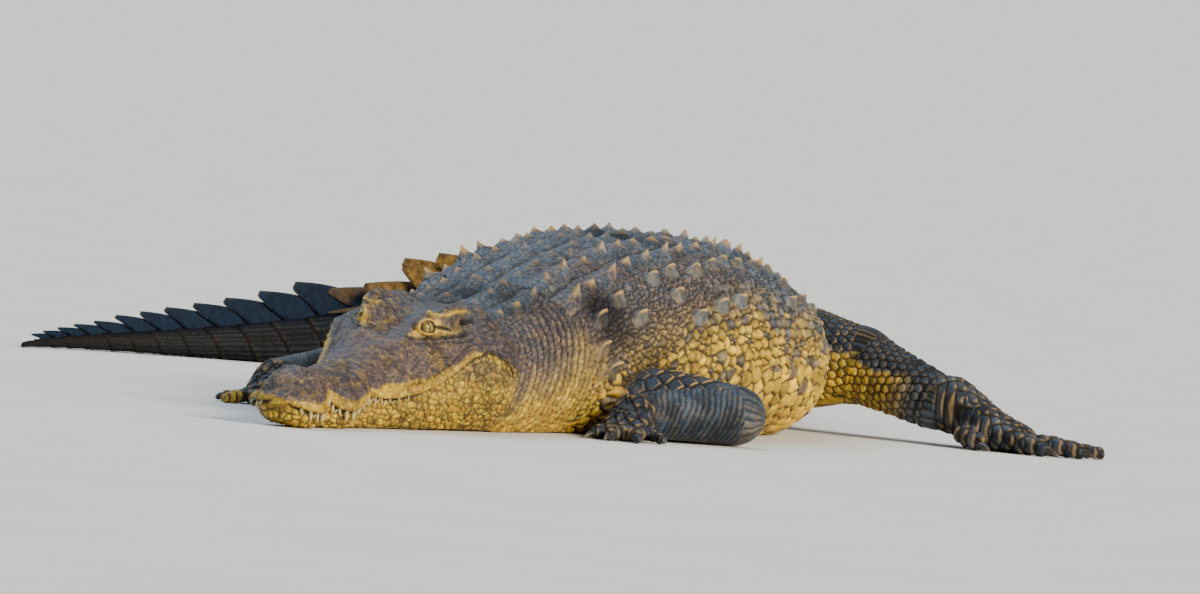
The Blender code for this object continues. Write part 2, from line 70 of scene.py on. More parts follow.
# ---- Dimensions shared with the solids ----
HEAD_LENGTH = 0.56
NECK_LENGTH = 0.31
TRUNK_LENGTH = 0.97
TAIL_LENGTH = 2.19
TAIL_ROOT = 1.08
HEAD_ROLL = 6.0
HEAD_AXIS = 0.06
BACKBONE_BEND = (
    (-0.31, 2.0), (0.0, 0.0), (0.25, 0.0), (0.97, 18.0), (1.55, 28.0),
    (2.1, 100.0), (2.4, 122.0), (2.9, 150.0), (3.16, 185.0),
)
SNOUT_S = -NECK_LENGTH - HEAD_LENGTH
TAIL_TIP_S = TRUNK_LENGTH + TAIL_LENGTH
BODY = (  # s, half width, height of the back, height of the widest part
    (-0.305, 0.15, 0.194, 0.085), (-0.18, 0.168, 0.214, 0.095), (0.0, 0.206, 0.262, 0.11),
    (0.2, 0.248, 0.304, 0.122), (0.42, 0.28, 0.32, 0.128), (0.62, 0.286, 0.31, 0.128),
    (0.8, 0.246, 0.262, 0.12), (0.97, 0.176, 0.218, 0.108), (1.08, 0.14, 0.208, 0.102),
    (1.3, 0.124, 0.21, 0.1), (1.6, 0.108, 0.206, 0.096), (2.0, 0.088, 0.196, 0.088),
    (2.3, 0.066, 0.148, 0.064), (2.46, 0.052, 0.102, 0.047), (2.6, 0.041, 0.074, 0.035),
    (2.76, 0.03, 0.051, 0.025), (2.94, 0.018, 0.033, 0.016), (3.16, 0.005, 0.012, 0.006),
)
BACK_FULLNESS = 2.15  # power of the curve over the back; 2 is an ellipse
SCUTE_WIDTH = 0.052
SCUTE_LENGTH = 0.0656
KEEL_PEAK = 0.7
KEEL_HEIGHT = (0.013, 0.015, 0.02)
NECK_BANDS = (-0.285, -0.1, 3)  # start, end and number of scute bands
TRUNK_BANDS = (-0.1, 1.08, 18)
CREST_JOIN = (2.28, 2.48)
CREST_PITCH = ((1.08, 0.064), (2.1, 0.067), (2.55, 0.066), (2.8, 0.052), (3.16, 0.036))
DOUBLE_CREST = ((1.08, 0.018), (1.5, 0.042), (1.9, 0.058), (2.25, 0.074), (2.4, 0.066), (3.16, 0.0))
SINGLE_CREST = (
    (1.08, 0.0), (2.35, 0.052), (2.48, 0.057), (2.64, 0.045), (2.8, 0.03), (2.95, 0.018), (3.16, 0.004),
)
HEAD_WIDTH = (
    (0.0, 0.018), (0.012, 0.037), (0.032, 0.052), (0.058, 0.055), (0.088, 0.045),
    (0.12, 0.055), (0.155, 0.064), (0.2, 0.062), (0.25, 0.068), (0.31, 0.084),
    (0.37, 0.105), (0.42, 0.121), (0.48, 0.136), (0.54, 0.148), (0.585, 0.15),
)
MOUTH_LINE = (
    (0.0, 0.034), (0.03, 0.027), (0.062, 0.026), (0.088, 0.043), (0.118, 0.033),
    (0.148, 0.03), (0.185, 0.042), (0.215, 0.053), (0.262, 0.052), (0.31, 0.06),
    (0.36, 0.078), (0.4, 0.104), (0.44, 0.131), (0.47, 0.136), (0.52, 0.122), (0.585, 0.1),
)
HEAD_TOP = (
    (0.0, 0.05), (0.012, 0.066), (0.034, 0.085), (0.058, 0.092), (0.085, 0.086),
    (0.12, 0.086), (0.17, 0.092), (0.23, 0.104), (0.29, 0.124), (0.335, 0.145),
    (0.375, 0.163), (0.42, 0.178), (0.48, 0.193), (0.54, 0.198), (0.585, 0.199),
)
HEAD_FULLNESS = ((0.0, 2.4), (0.24, 2.3), (0.32, 1.9), (0.4, 1.55), (0.48, 1.65), (0.585, 2.1))
HEAD_BUMPS = (
    (0.044, 0.96, 0.022, 0.3, 0.005), (0.426, 0.68, 0.04, 0.11, 0.042),
    (0.478, 0.68, 0.04, 0.11, 0.018), (0.54, 0.7, 0.036, 0.12, 0.018),
    (0.338, 0.7, 0.04, 0.12, 0.01), (0.41, 1.0, 0.06, 0.13, -0.012),
    (0.5, 0.25, 0.07, 0.25, 0.006),
)
JAW_SIDE = ((0.0, 0.58), (0.22, 0.86), (0.62, 1.01), (1.0, 1.0))
JAW_TOOTH_STEP = 0.007
MOUTH_CORNER = 0.455
NOTCH = 0.088
EYE_RADIUS = 0.0165
EYE_CENTRE = (0.39, 0.049, 0.1645)
ARM_RADII = (0.056, 0.053, 0.043, 0.036)
LEG_RADII = (0.095, 0.074, 0.06, 0.048)
LIMB_SWELL = (0.004, 0.003)
HAND_TOES = (
    (-44, 0.66, 0.0115), (-21, 0.9, 0.0125), (0, 1.0, 0.0125), (24, 0.95, 0.011), (50, 0.76, 0.01),
)
FOOT_TOES = ((-40, 0.58, 0.017), (-14, 0.86, 0.0185), (2, 1.0, 0.018), (18, 0.98, 0.015))
CLAWED_TOES = 3
CLAW_LENGTH = {"arm": 0.02, "leg": 0.03}

FLESH_NODES = (
    "skull", "lower_jaw", "neck", "trunk", "tail_base", "tail_middle", "tail_end", "tail_tip",
    "left_upper_arm", "left_forearm", "left_hand", "right_upper_arm", "right_forearm", "right_hand",
    "left_thigh", "left_shank", "left_foot", "right_thigh", "right_shank", "right_foot",
)


# ---- Number tools ----
def blend(x: Values, table: Table, column: int = 1) -> Array:
    """Smooth value of a table's column at x, through its rows, with no overshoot.

    Args:
        x: Number or array.
        table: Rows of numbers, the first of which rises from row to row.
        column: Which number of a row to follow.

    Returns:
        An array of the same shape as x.
    """
    xs = np.array([row[0] for row in table])
    ys = np.array([row[column] for row in table])
    x = np.clip(x, xs[0], xs[-1])
    slopes = np.diff(ys) / np.diff(xs)
    ends = np.concatenate([[slopes[0]], slopes, [slopes[-1]]])
    left, right = ends[:-1], ends[1:]
    same = left * right > 0
    tangents = np.where(same, 2 * left * right / np.where(same, left + right, 1.0), 0.0)
    i = np.clip(np.searchsorted(xs, x, side="right") - 1, 0, len(xs) - 2)
    span = xs[i + 1] - xs[i]
    u = (x - xs[i]) / span
    return (
        ys[i] * (1 + 2 * u) * (1 - u) ** 2
        + ys[i + 1] * u * u * (3 - 2 * u)
        + span * tangents[i] * u * (1 - u) ** 2
        + span * tangents[i + 1] * u * u * (u - 1)
    )


def ease(x: Values, low: float = 0.0, high: float = 1.0) -> Array:
    """0 below low, 1 above high and a smooth rise between."""
    x = np.clip((np.asarray(x, float) - low) / (high - low), 0.0, 1.0)
    return x * x * (3 - 2 * x)


def bell(x: Array, centre: Values, width: float) -> Array:
    """A smooth hill of height 1 round a centre."""
    return np.exp(-(((x - centre) / width) ** 2))


def unit(vector: Array) -> Array:
    """The vector at length 1."""
    return vector / np.linalg.norm(vector)


def level(turn: float) -> Array:
    """Level unit vector at this angle from +X, in radians."""
    return np.array([math.cos(turn), math.sin(turn), 0.0])


def mix(a: Values, b: Values, share: Values) -> Array:
    """The value that is a share of the way from a to b."""
    return a + (b - a) * share


def scatter(seed: int, *keys: Array) -> Array:
    """Numbers between 0 and 1 that look random but depend only on whole-number keys.

    Args:
        seed: Picks one of the possible series.
        keys: Arrays of whole numbers, such as the row and column of a scale.

    Returns:
        One number for each set of keys.
    """
    value = np.full(np.shape(keys[0]), seed * 2654435761 % 4294967296, np.uint32)
    for key in keys:
        value = (value ^ np.asarray(key).astype(np.int64).astype(np.uint32)) * np.uint32(2654435769)
        value ^= value >> np.uint32(15)
        value *= np.uint32(2246822519)
        value ^= value >> np.uint32(13)
    return value.astype(np.float64) / 4294967296.0


def clouds(points: Array, size: float, seed: int, octaves: int = 2) -> Array:
    """Smooth noise over points in space.

    Args:
        points: Rows of coordinates.
        size: Size of the largest lumps.
        seed: Picks one of the possible patterns.
        octaves: How many times finer lumps are added.

    Returns:
        A number from -1 to 1 for each point.
    """
    total = np.zeros(len(points))
    share = 1.0
    for octave in range(octaves):
        grid = points / (size / 2**octave)
        cell = np.floor(grid)
        part = grid - cell
        part = part * part * (3 - 2 * part)
        value = np.zeros(len(points))
        for corner in range(8):
            step = np.array([corner & 1, corner >> 1 & 1, corner >> 2 & 1])
            weight = np.prod(np.where(step, part, 1 - part), axis=1)
            key = cell + step
            value += weight * scatter(seed + octave, key[:, 0], key[:, 1], key[:, 2])
        total += share * (2 * value - 1)
        share *= 0.5
    return total / (2 - 2 ** (1 - octaves))


@dataclass
class Tiles:
    """Where points fall in a pattern of scales."""

    edge: Array  # metres to the scale's border
    tone: Array  # random number of the scale that the point is in
    other: Array  # random number of the scale across the nearest border
    along: Array  # metres from the scale's middle, towards the tail
    across: Array  # the same, sideways


def tiles(
    u: Array, v: Array, pitch_u: float, pitch_v: float,
    jitter: float = 0.5, seed: int = 1, brick: float = 0.5,
) -> Tiles:
    """Irregular scales laid in rows, like cells that grew against each other.

    Args:
        u: Places along the lie of the scales.
        v: Places across it.
        pitch_u: Length of a scale.
        pitch_v: Width of a scale.
        jitter: How irregular they are, from 0 to 1.
        seed: Picks one of the possible patterns.
        brick: How far each row is shifted against the one beside it, in scale lengths.

    Returns:
        The Tiles for every point.
    """
    gu, gv = u / pitch_u, v / pitch_v
    row = np.floor(gv)
    near = []
    for dj in (-1, 0, 1):
        j = row + dj
        shift = brick * np.mod(j, 2)
        column = np.floor(gu - shift)
        for di in (-1, 0, 1):
            i = column + di
            cu = i + 0.5 + shift + jitter * (scatter(seed, i, j) - 0.5)
            cv = j + 0.5 + jitter * (scatter(seed + 7, i, j) - 0.5)
            near.append(((cu - gu) * pitch_u, (cv - gv) * pitch_v, scatter(seed + 13, i, j)))
    return nearest_tiles([(a, b) for a, b, _ in near], [tone for _, _, tone in near])


def nearest_tiles(offsets: list[tuple[Array, ...]], tones: list[Array]) -> Tiles:
    """Tiles from the offsets to the middles of all scales nearby.

    Args:
        offsets: For each scale nearby, its middle seen from the points, one array per axis.
        tones: The random number of each of those scales.

    Returns:
        The Tiles for every point.
    """
    offsets = [np.stack(offset) for offset in offsets]
    squares = np.stack([np.sum(offset**2, axis=0) for offset in offsets])
    best = np.argmin(squares, axis=0)
    index = np.arange(len(best))
    own = np.stack(offsets)[best, :, index].T
    tones = np.stack(tones)
    tone = tones[best, index]
    edge = np.full(len(best), 1e9)
    other = tone.copy()
    for k, offset in enumerate(offsets):
        gap = offset - own
        length = np.sqrt(np.sum(gap**2, axis=0))
        reach = np.sum((offset + own) * gap, axis=0) / np.maximum(2 * length, 1e-9)
        closer = (best != k) & (reach < edge)
        edge = np.where(closer, reach, edge)
        other = np.where(closer, tones[k], other)
    return Tiles(edge, tone, other, -own[0], -own[1])


def crackle(points: Array, pitch: float, seed: int) -> Tiles:
    """Irregular plates cut from space, for skin that cracks rather than grows in scales.

    Args:
        points: Rows of coordinates.
        pitch: Size of a plate.
        seed: Picks one of the possible patterns.

    Returns:
        The Tiles for every point.
    """
    grid = points / pitch
    cell = np.floor(grid)
    offsets, tones = [], []
    for k in range(27):
        step = np.array([k % 3 - 1, k // 3 % 3 - 1, k // 9 - 1])
        key = cell + step
        keys = (key[:, 0], key[:, 1], key[:, 2])
        spot = np.stack([key[:, a] + 0.5 + 0.8 * (scatter(seed + a, *keys) - 0.5) for a in range(3)])
        offsets.append(tuple((spot - grid.T) * pitch))
        tones.append(scatter(seed + 5, *keys))
    return nearest_tiles(offsets, tones)


# ---- The backbone and the forms around it ----
class Backbone:
    """The bent line that the neck, trunk and tail follow, seen from above."""

    def __init__(self) -> None:
        """Walks the line in steps of a millimetre."""
        self.s = np.arange(SNOUT_S - 0.1, TAIL_TIP_S + 0.1, 0.001)
        turn = np.radians(self.heading(self.s))
        x, y = np.cumsum(np.cos(turn)) * 0.001, np.cumsum(np.sin(turn)) * 0.001
        self.x = x - np.interp(0.0, self.s, x)
        self.y = y - np.interp(0.0, self.s, y)

    @staticmethod
    def heading(s: Values) -> Array:
        """Direction at s, in degrees from +X, looking towards the tail."""
        return 90.0 + blend(s, BACKBONE_BEND)

    def place(self, s: Values, side: Values, height: Values) -> Array:
        """World points from places on the body.

        Args:
            s: Place along the backbone.
            side: Distance left of the midline.
            height: Height above the floor, before the head's lean.

        Returns:
            One point, or rows of points.
        """
        s, side, height = np.broadcast_arrays(np.asarray(s, float), side, height)
        lean = math.radians(HEAD_ROLL) * ease(-s / NECK_LENGTH)
        above = height - HEAD_AXIS
        out = side * np.cos(lean) + above * np.sin(lean)
        high = np.maximum(0.0, HEAD_AXIS + above * np.cos(lean) - side * np.sin(lean))
        turn = np.radians(self.heading(s))
        x = np.interp(s, self.s, self.x) + out * np.sin(turn)
        y = np.interp(s, self.s, self.y) - out * np.cos(turn)
        return np.stack([x, y, high], axis=-1)

    def find(self, points: Array) -> tuple[Array, Array, Array]:
        """Places on the body from world points.

        Args:
            points: Rows of world points.

        Returns:
            Arrays of s, of the sideways distance and of the height.
        """
        step = 25
        best = np.zeros(len(points))
        least = np.full(len(points), 1e9)
        for k in range(0, len(self.s), step):
            distance = (points[:, 0] - self.x[k]) ** 2 + (points[:, 1] - self.y[k]) ** 2
            closer = distance < least
            best[closer] = self.s[k]
            least = np.where(closer, distance, least)
        s = best
        for _ in range(4):
            turn = np.radians(self.heading(s))
            dx = points[:, 0] - np.interp(s, self.s, self.x)
            dy = points[:, 1] - np.interp(s, self.s, self.y)
            s = np.clip(s + 0.9 * (dx * np.cos(turn) + dy * np.sin(turn)), self.s[0], self.s[-1])
        turn = np.radians(self.heading(s))
        dx = points[:, 0] - np.interp(s, self.s, self.x)
        dy = points[:, 1] - np.interp(s, self.s, self.y)
        out = dx * np.sin(turn) - dy * np.cos(turn)
        lean = math.radians(HEAD_ROLL) * ease(-s / NECK_LENGTH)
        above = points[:, 2] - HEAD_AXIS
        side = out * np.cos(lean) - above * np.sin(lean)
        height = HEAD_AXIS + out * np.sin(lean) + above * np.cos(lean)
        return s, side, height


SPINE = Backbone()


def half_section(s: float, count: int = 46) -> tuple[Array, Array]:
    """Left half of the body's section, from the floor up to the middle of the back.

    Args:
        s: Place along the backbone.
        count: Number of points.

    Returns:
        Sideways distances and heights.
    """
    width, top, waist = (float(blend(s, BODY, column)) for column in (1, 2, 3))
    low = np.radians(np.linspace(62, 0, count // 3, endpoint=False))
    side = list(width * np.cos(low) ** 0.6)
    height = list(np.maximum(0.0, waist * (1 - 1.15 * np.sin(low) ** 0.9)))
    high = np.radians(np.linspace(0, 90, count - count // 3))
    side += list(width * np.maximum(np.cos(high), 0.0) ** (2 / BACK_FULLNESS))
    height += list(waist + (top - waist) * np.sin(high) ** (2 / BACK_FULLNESS))
    return np.array(side), np.array(height)


class Girth:
    """Distance round the body from the middle of the back, for any place on its surface."""

    STEP = 0.02
    ANGLES = np.radians(np.linspace(-90, 90, 121))

    def __init__(self) -> None:
        """Measures the sections along the whole body."""
        self.s = np.arange(-0.32, TAIL_TIP_S, self.STEP)
        arcs, radii = [], []
        for s in self.s:
            side, height = half_section(s, 90)
            side, height = np.concatenate([[0.0], side]), np.concatenate([[0.0], height])
            waist = float(blend(s, BODY, 3))
            angle = np.arctan2(height - waist, side)
            steps = np.hypot(np.diff(side), np.diff(height))
            arc = np.concatenate([np.cumsum(steps[::-1])[::-1], [0.0]])
            arcs.append(np.interp(self.ANGLES, angle, arc))
            radii.append(np.interp(self.ANGLES, angle, np.hypot(side, height - waist)))
        self.arcs, self.radii = np.array(arcs), np.array(radii)

    def _look(self, table: Array, s: Array, angle: Array) -> Array:
        """Reads a table of the sections.

        Args:
            table: The table.
            s: Place along the backbone.
            angle: Angle above the widest part.

        Returns:
            One number for each place.
        """
        gs = np.clip((s - self.s[0]) / self.STEP, 0, len(self.s) - 1.001)
        first, second = self.ANGLES[:2]
        ga = np.clip((angle - first) / (second - first), 0, len(self.ANGLES) - 1.001)
        i, j = gs.astype(int), ga.astype(int)
        a, b = gs - i, ga - j
        return (
            table[i, j] * (1 - a) * (1 - b) + table[i + 1, j] * a * (1 - b)
            + table[i, j + 1] * (1 - a) * b + table[i + 1, j + 1] * a * b
        )

    def find(self, s: Array, side: Array, height: Array) -> tuple[Array, Array]:
        """Arc from the middle of the back, and distance outside the body's surface.

        Args:
            s: Place along the backbone.
            side: Distance left of the midline.
            height: Height above the floor.

        Returns:
            The arcs, and the distances, which are negative inside.
        """
        waist = blend(s, BODY, 3)
        angle = np.arctan2(height - waist, np.abs(side))
        arc = self._look(self.arcs, s, angle)
        return arc, np.hypot(side, height - waist) - self._look(self.radii, s, angle)


def head_bumps(t: float, q: Array) -> Array:
    """Height that the head's bumps add at t, and at the shares q of the way up the section."""
    return sum(h * np.exp(-(((t - c) / a) ** 2) - ((q - u) / b) ** 2) for c, u, a, b, h in HEAD_BUMPS)


def skull_half(t: float) -> tuple[Array, Array]:
    """Left half of the upper head's section, from the lip up to the midline.

    Args:
        t: Distance behind the snout's tip.

    Returns:
        Sideways distances and heights.
    """
    width, lip, top = (float(blend(t, table)) for table in (HEAD_WIDTH, MOUTH_LINE, HEAD_TOP))
    power = float(blend(t, HEAD_FULLNESS))
    q = np.linspace(0, 1, 26)
    turn = q * math.pi / 2
    lift = head_bumps(t, q)
    side = width * np.maximum(np.cos(turn), 0.0) ** (2 / power) + np.cos(turn) * lift
    height = lip + (top - lip) * np.sin(turn) ** (2 / power) + np.sin(turn) * lift
    side[-1] = 0.0
    return side, np.maximum(height, lip)


def jaw_half(t: float) -> tuple[Array, Array]:
    """Left half of the lower jaw's section, from the floor up to the lip.

    Args:
        t: Distance behind the snout's tip.

    Returns:
        Sideways distances and heights.
    """
    lip = float(blend(t, MOUTH_LINE))
    inset = JAW_TOOTH_STEP * (1 - float(ease(t, MOUTH_CORNER - 0.105, MOUTH_CORNER - 0.025)))
    width = float(blend(t, HEAD_WIDTH)) - inset
    chin = 0.012 * (1 - float(ease(t / 0.05)))
    share = np.linspace(0, 1, 14)
    return width * blend(share, JAW_SIDE), chin + share * (lip + 0.002 - chin)


# ---- Limbs ----
class Side(Enum):
    """Which side of the crocodile, as the sign of the distance from its midline."""

    LEFT = 1
    RIGHT = -1


@dataclass(frozen=True)
class Limb:
    """One limb: its joints, radii, foot and toes."""

    side: Side
    fore: bool  # an arm, not a hind leg
    joints: tuple[tuple[float, float, float], ...]  # shoulder or hip, elbow or knee, wrist or ankle
    heading: float  # direction of the middle toe, in degrees from +X
    length: float  # from wrist or ankle to the tip of the longest toe

    @property
    def radii(self) -> tuple[float, ...]:
        """Radii at the ends of the upper and of the lower length."""
        return ARM_RADII if self.fore else LEG_RADII

    @property
    def claw(self) -> float:
        """Length of a claw."""
        return CLAW_LENGTH["arm" if self.fore else "leg"]

    @property
    def foot(self) -> str:
        """Name of the foot's solid."""
        return f"{self.side.name.lower()}_{'hand' if self.fore else 'foot'}"

    @property
    def places(self) -> tuple[Array, ...]:
        """The three joints as arrays."""
        return tuple(np.array(joint) for joint in self.joints)

    @property
    def lengths(self) -> tuple[float, float]:
        """Upper and lower length of the limb."""
        first, bend, last = self.places
        return float(np.linalg.norm(bend - first)), float(np.linalg.norm(last - bend))

    def toes(self) -> Iterator[tuple[float, float, float]]:
        """Goes through the toes.

        Yields:
            Each toe's direction in radians, its reach without the claw, and its radius.
        """
        for k, (angle, reach, radius) in enumerate(HAND_TOES if self.fore else FOOT_TOES):
            turn = math.radians(self.heading + self.side.value * angle * 0.9)
            yield turn, self.length * reach - (self.claw if k < CLAWED_TOES else 0.0), radius

    def radius_at(self, a: Values) -> Array:
        """Radius of the flesh.

        Args:
            a: Distance along the two lengths.

        Returns:
            The radii.
        """
        upper, lower = self.lengths
        r0, r1, r2, r3 = self.radii
        swell, swell_low = LIMB_SWELL
        return blend(a, (
            (-r0, r0 * 0.85), (0.0, r0), (upper * 0.5, (r0 + r1) / 2 + swell),
            (upper - 0.01, mix(r1, r2, 0.3)), (upper + 0.35 * lower, mix(r2, r3, 0.3) + swell_low * 0.8),
            (upper + 0.75 * lower, mix(r2, r3, 0.75) + swell_low * 0.3), (upper + lower, r3),
        ))

    def find(self, points: Array) -> Array:
        """Places on the limb from world points.

        Args:
            points: Rows of world points.

        Returns:
            Three rows: distance along the limb, angle round it, distance outside its flesh.
        """
        first, bend, last = self.places
        best = None
        for start, end, offset in ((first, bend, 0.0), (bend, last, self.lengths[0])):
            length = np.linalg.norm(end - start)
            axis = (end - start) / length
            a = np.clip((points - start) @ axis, 0.0, length)
            gap = points - start - a[:, None] * axis
            across = unit(np.cross(axis, [0, 0, 1]))
            up = np.cross(across, axis)
            outside = np.linalg.norm(gap, axis=1) - self.radius_at(a + offset)
            found = np.stack([a + offset, np.arctan2(gap @ across, gap @ up), outside])
            best = found if best is None else np.where(found[2] < best[2], found, best)
        return best

    def find_foot(self, points: Array) -> Array:
        """Places on the foot from world points.

        Args:
            points: Rows of world points.

        Returns:
            Three rows: distance from the wrist along the nearest toe, distance across it,
            and distance outside the toe.
        """
        wrist = self.places[2]
        best = None
        for turn, reach, radius in self.toes():
            ahead = np.array([math.cos(turn), math.sin(turn)])
            gap = points[:, :2] - wrist[:2]
            a = gap @ ahead
            across = gap @ np.array([ahead[1], -ahead[0]])
            lateral = np.hypot(across, points[:, 2] - radius) + 0.5 * np.maximum(0.0, a - reach)
            found = np.stack([a, across, lateral - radius * (1 + 0.8 * (a < 0.3 * self.length))])
            best = found if best is None else np.where(found[2] < best[2], found, best)
        return best


LEFT_ARM = (0.15, 0.02, 0.062), (0.36, 0.11, 0.05), (0.25, -0.035, 0.04)
RIGHT_ARM = (-0.15, 0.02, 0.062), (-0.335, 0.05, 0.05), (-0.35, -0.13, 0.04)
LEFT_LEG = (0.0, 0.985, 0.13), (0.188, 1.012, 0.122), (0.347, 0.994, 0.072)
RIGHT_LEG = (-0.205, 0.905, 0.118), (-0.4, 0.76, 0.09), (-0.425, 0.945, 0.05)
LIMBS = (
    Limb(Side.LEFT, True, LEFT_ARM, -85.0, 0.15), Limb(Side.RIGHT, True, RIGHT_ARM, -80.0, 0.15),
    Limb(Side.LEFT, False, LEFT_LEG, 3.0, 0.3), Limb(Side.RIGHT, False, RIGHT_LEG, 202.0, 0.3),
)


# ---- Mesh tools ----
def add_object(name: str, data: ID) -> Object:
    """Links a new object to the scene.

    Args:
        name: Its name.
        data: Its mesh, light or camera.

    Returns:
        The object.
    """
    made = bpy.data.objects.new(name, data)
    bpy.context.scene.collection.objects.link(made)
    return made


def loft(rings: list[Array]) -> Loft:
    """A closed tube through rings of equally many points.

    Args:
        rings: The rings, each with its points as rows.

    Returns:
        Vertices and faces.
    """
    grid_points = np.array(rings, float)
    count, around = grid_points.shape[:2]
    grid = np.arange(count * around).reshape(count, around)
    after = np.roll(grid, -1, axis=1)
    quads = np.stack([grid[:-1], after[:-1], after[1:], grid[1:]], axis=-1).reshape(-1, 4)
    faces = [tuple(quad) for quad in quads.tolist()]
    faces += [tuple(grid[0][::-1].tolist()), tuple(grid[-1].tolist())]
    return grid_points.reshape(-1, 3), faces


def merged(name: str, parts: list[Loft]) -> Mesh:
    """One mesh from several lists of vertices and faces.

    Args:
        name: Name of the mesh.
        parts: The lists.

    Returns:
        The mesh.
    """
    verts, faces, offset = [], [], 0
    for points, polygons in parts:
        verts.append(np.asarray(points, float))
        faces += [tuple(v + offset for v in polygon) for polygon in polygons]
        offset += len(points)
    mesh = bpy.data.meshes.new(name)
    mesh.from_pydata(np.concatenate(verts).tolist(), [], faces)
    mesh.update()
    return mesh


def tube(points: list[Array], radii: list[float], count: int = 20) -> list[Array]:
    """Rings round a path. Heights below the floor are laid flat on it.

    Args:
        points: The path.
        radii: The tube's radius at each of its points.
        count: Points in a ring.

    Returns:
        The rings.
    """
    rings = []
    turn = 2 * np.pi * np.arange(count)[:, None] / count
    for k, (point, radius) in enumerate(zip(points, radii)):
        ahead = Vector(points[min(k + 1, len(points) - 1)]) - Vector(points[max(k - 1, 0)])
        across = ahead.cross(Vector((0, 0, 1))).normalized()
        up = across.cross(ahead).normalized()
        ring = np.array(point) + radius * (np.cos(turn) * np.array(across) + np.sin(turn) * np.array(up))
        ring[:, 2] = np.maximum(ring[:, 2], 0.0)
        rings.append(ring)
    return rings


def rows(items: bpy.types.bpy_prop_collection, name: str) -> Array:
    """Reads three numbers of every item.

    Args:
        items: Vertices or normals of a mesh.
        name: Name of the numbers.

    Returns:
        One row for each item.
    """
    found = np.empty(len(items) * 3, np.float32)
    items.foreach_get(name, found)
    return found.reshape(-1, 3).astype(float)


def coordinates(mesh: Mesh) -> Array:
    """The mesh's vertices as rows."""
    return rows(mesh.vertices, "co")


def move(mesh: Mesh, points: Array) -> None:
    """Puts the mesh's vertices at these rows."""
    mesh.vertices.foreach_set("co", points.astype(np.float32).ravel())
    mesh.update()


def relax(mesh: Mesh, weight: Array, rounds: int) -> None:
    """Evens out a mesh.

    Args:
        mesh: The mesh, which is changed.
        weight: How strongly each vertex moves, from 0 to 1.
        rounds: How often it is done.
    """
    pairs = np.empty(len(mesh.edges) * 2, np.int32)
    mesh.edges.foreach_get("vertices", pairs)
    a, b = pairs[::2], pairs[1::2]
    points = coordinates(mesh)
    count = len(points)
    degree = np.bincount(a, minlength=count) + np.bincount(b, minlength=count)
    for _ in range(rounds):
        for axis in range(3):
            total = np.bincount(a, points[b, axis], count) + np.bincount(b, points[a, axis], count)
            points[:, axis] += 0.6 * weight * (total / degree - points[:, axis])
    move(mesh, points)


def refine(mesh: Mesh, chosen: Array) -> None:
    """Splits the faces all of whose corners are chosen into four.

    Args:
        mesh: The mesh, which is changed.
        chosen: Whether each vertex is chosen.
    """
    work = bmesh.new()
    work.from_mesh(mesh)
    work.verts.ensure_lookup_table()
    edges = [edge for edge in work.edges if chosen[edge.verts[0].index] and chosen[edge.verts[1].index]]
    bmesh.ops.subdivide_edges(work, edges=edges, cuts=1, use_grid_fill=True)
    work.to_mesh(mesh)
    work.free()
    mesh.update()


def note(mesh: Mesh, name: str, values: Array) -> None:
    """Stores one number for each vertex."""
    made = mesh.attributes.new(name, "FLOAT", "POINT")
    made.data.foreach_set("value", np.ascontiguousarray(values, np.float32))


# ---- The bare skin ----
def body_form() -> Loft:
    """Neck, trunk and tail as one loft.

    Returns:
        Vertices and faces.
    """
    rings = []
    for s in np.arange(-0.3, TAIL_TIP_S - 0.004, 0.01):
        side, height = half_section(s)
        rings.append(SPINE.place(s, np.append(side, -side[-2::-1]), np.append(height, height[-2::-1])))
    return loft(rings)


def head_forms() -> list[Loft]:
    """Upper head and lower jaw.

    Returns:
        One loft of each.
    """
    skull, jaw = [], []
    for t in np.arange(0.0, 0.606, 0.005):
        side, height = skull_half(t)
        side, height = np.append(side[0] * 0.7, side), np.append(height[0], height)
        ring = np.append(side, -side[-2::-1]), np.append(height, height[-2::-1])
        skull.append(SPINE.place(SNOUT_S + t, *ring))
        if t > 0.009:
            side, height = jaw_half(t)
            ring = np.append(side, -side[::-1]), np.append(height, height[::-1])
            jaw.append(SPINE.place(SNOUT_S + t, *ring))
    middle = skull[0].mean(axis=0)
    ahead = SPINE.place(SNOUT_S - 0.004, 0, 0) - SPINE.place(SNOUT_S, 0, 0)
    skull.insert(0, middle + (skull[0] - middle) * 0.72 + ahead)
    return [loft(skull), loft(jaw)]


def length_form(limb: Limb, start: Array, end: Array, offset: float) -> Loft:
    """One length of a limb, with rounded ends.

    Args:
        limb: The limb.
        start: Joint at its upper end.
        end: Joint at its lower end.
        offset: Distance along the limb at start.

    Returns:
        Vertices and faces.
    """
    length = float(np.linalg.norm(end - start))
    axis = (end - start) / length
    first, last = float(limb.radius_at(offset)), float(limb.radius_at(offset + length))
    points = [start + axis * a for a in np.linspace(0, length, 14)]
    radii = [float(limb.radius_at(a + offset)) for a in np.linspace(0, length, 14)]
    for k in range(1, 6):
        turn = math.pi / 2 * k / 5.5
        points.insert(0, start - axis * first * math.sin(turn))
        radii.insert(0, first * math.cos(turn))
        points.append(end + axis * last * math.sin(turn))
        radii.append(last * math.cos(turn))
    return loft(tube(points, radii))


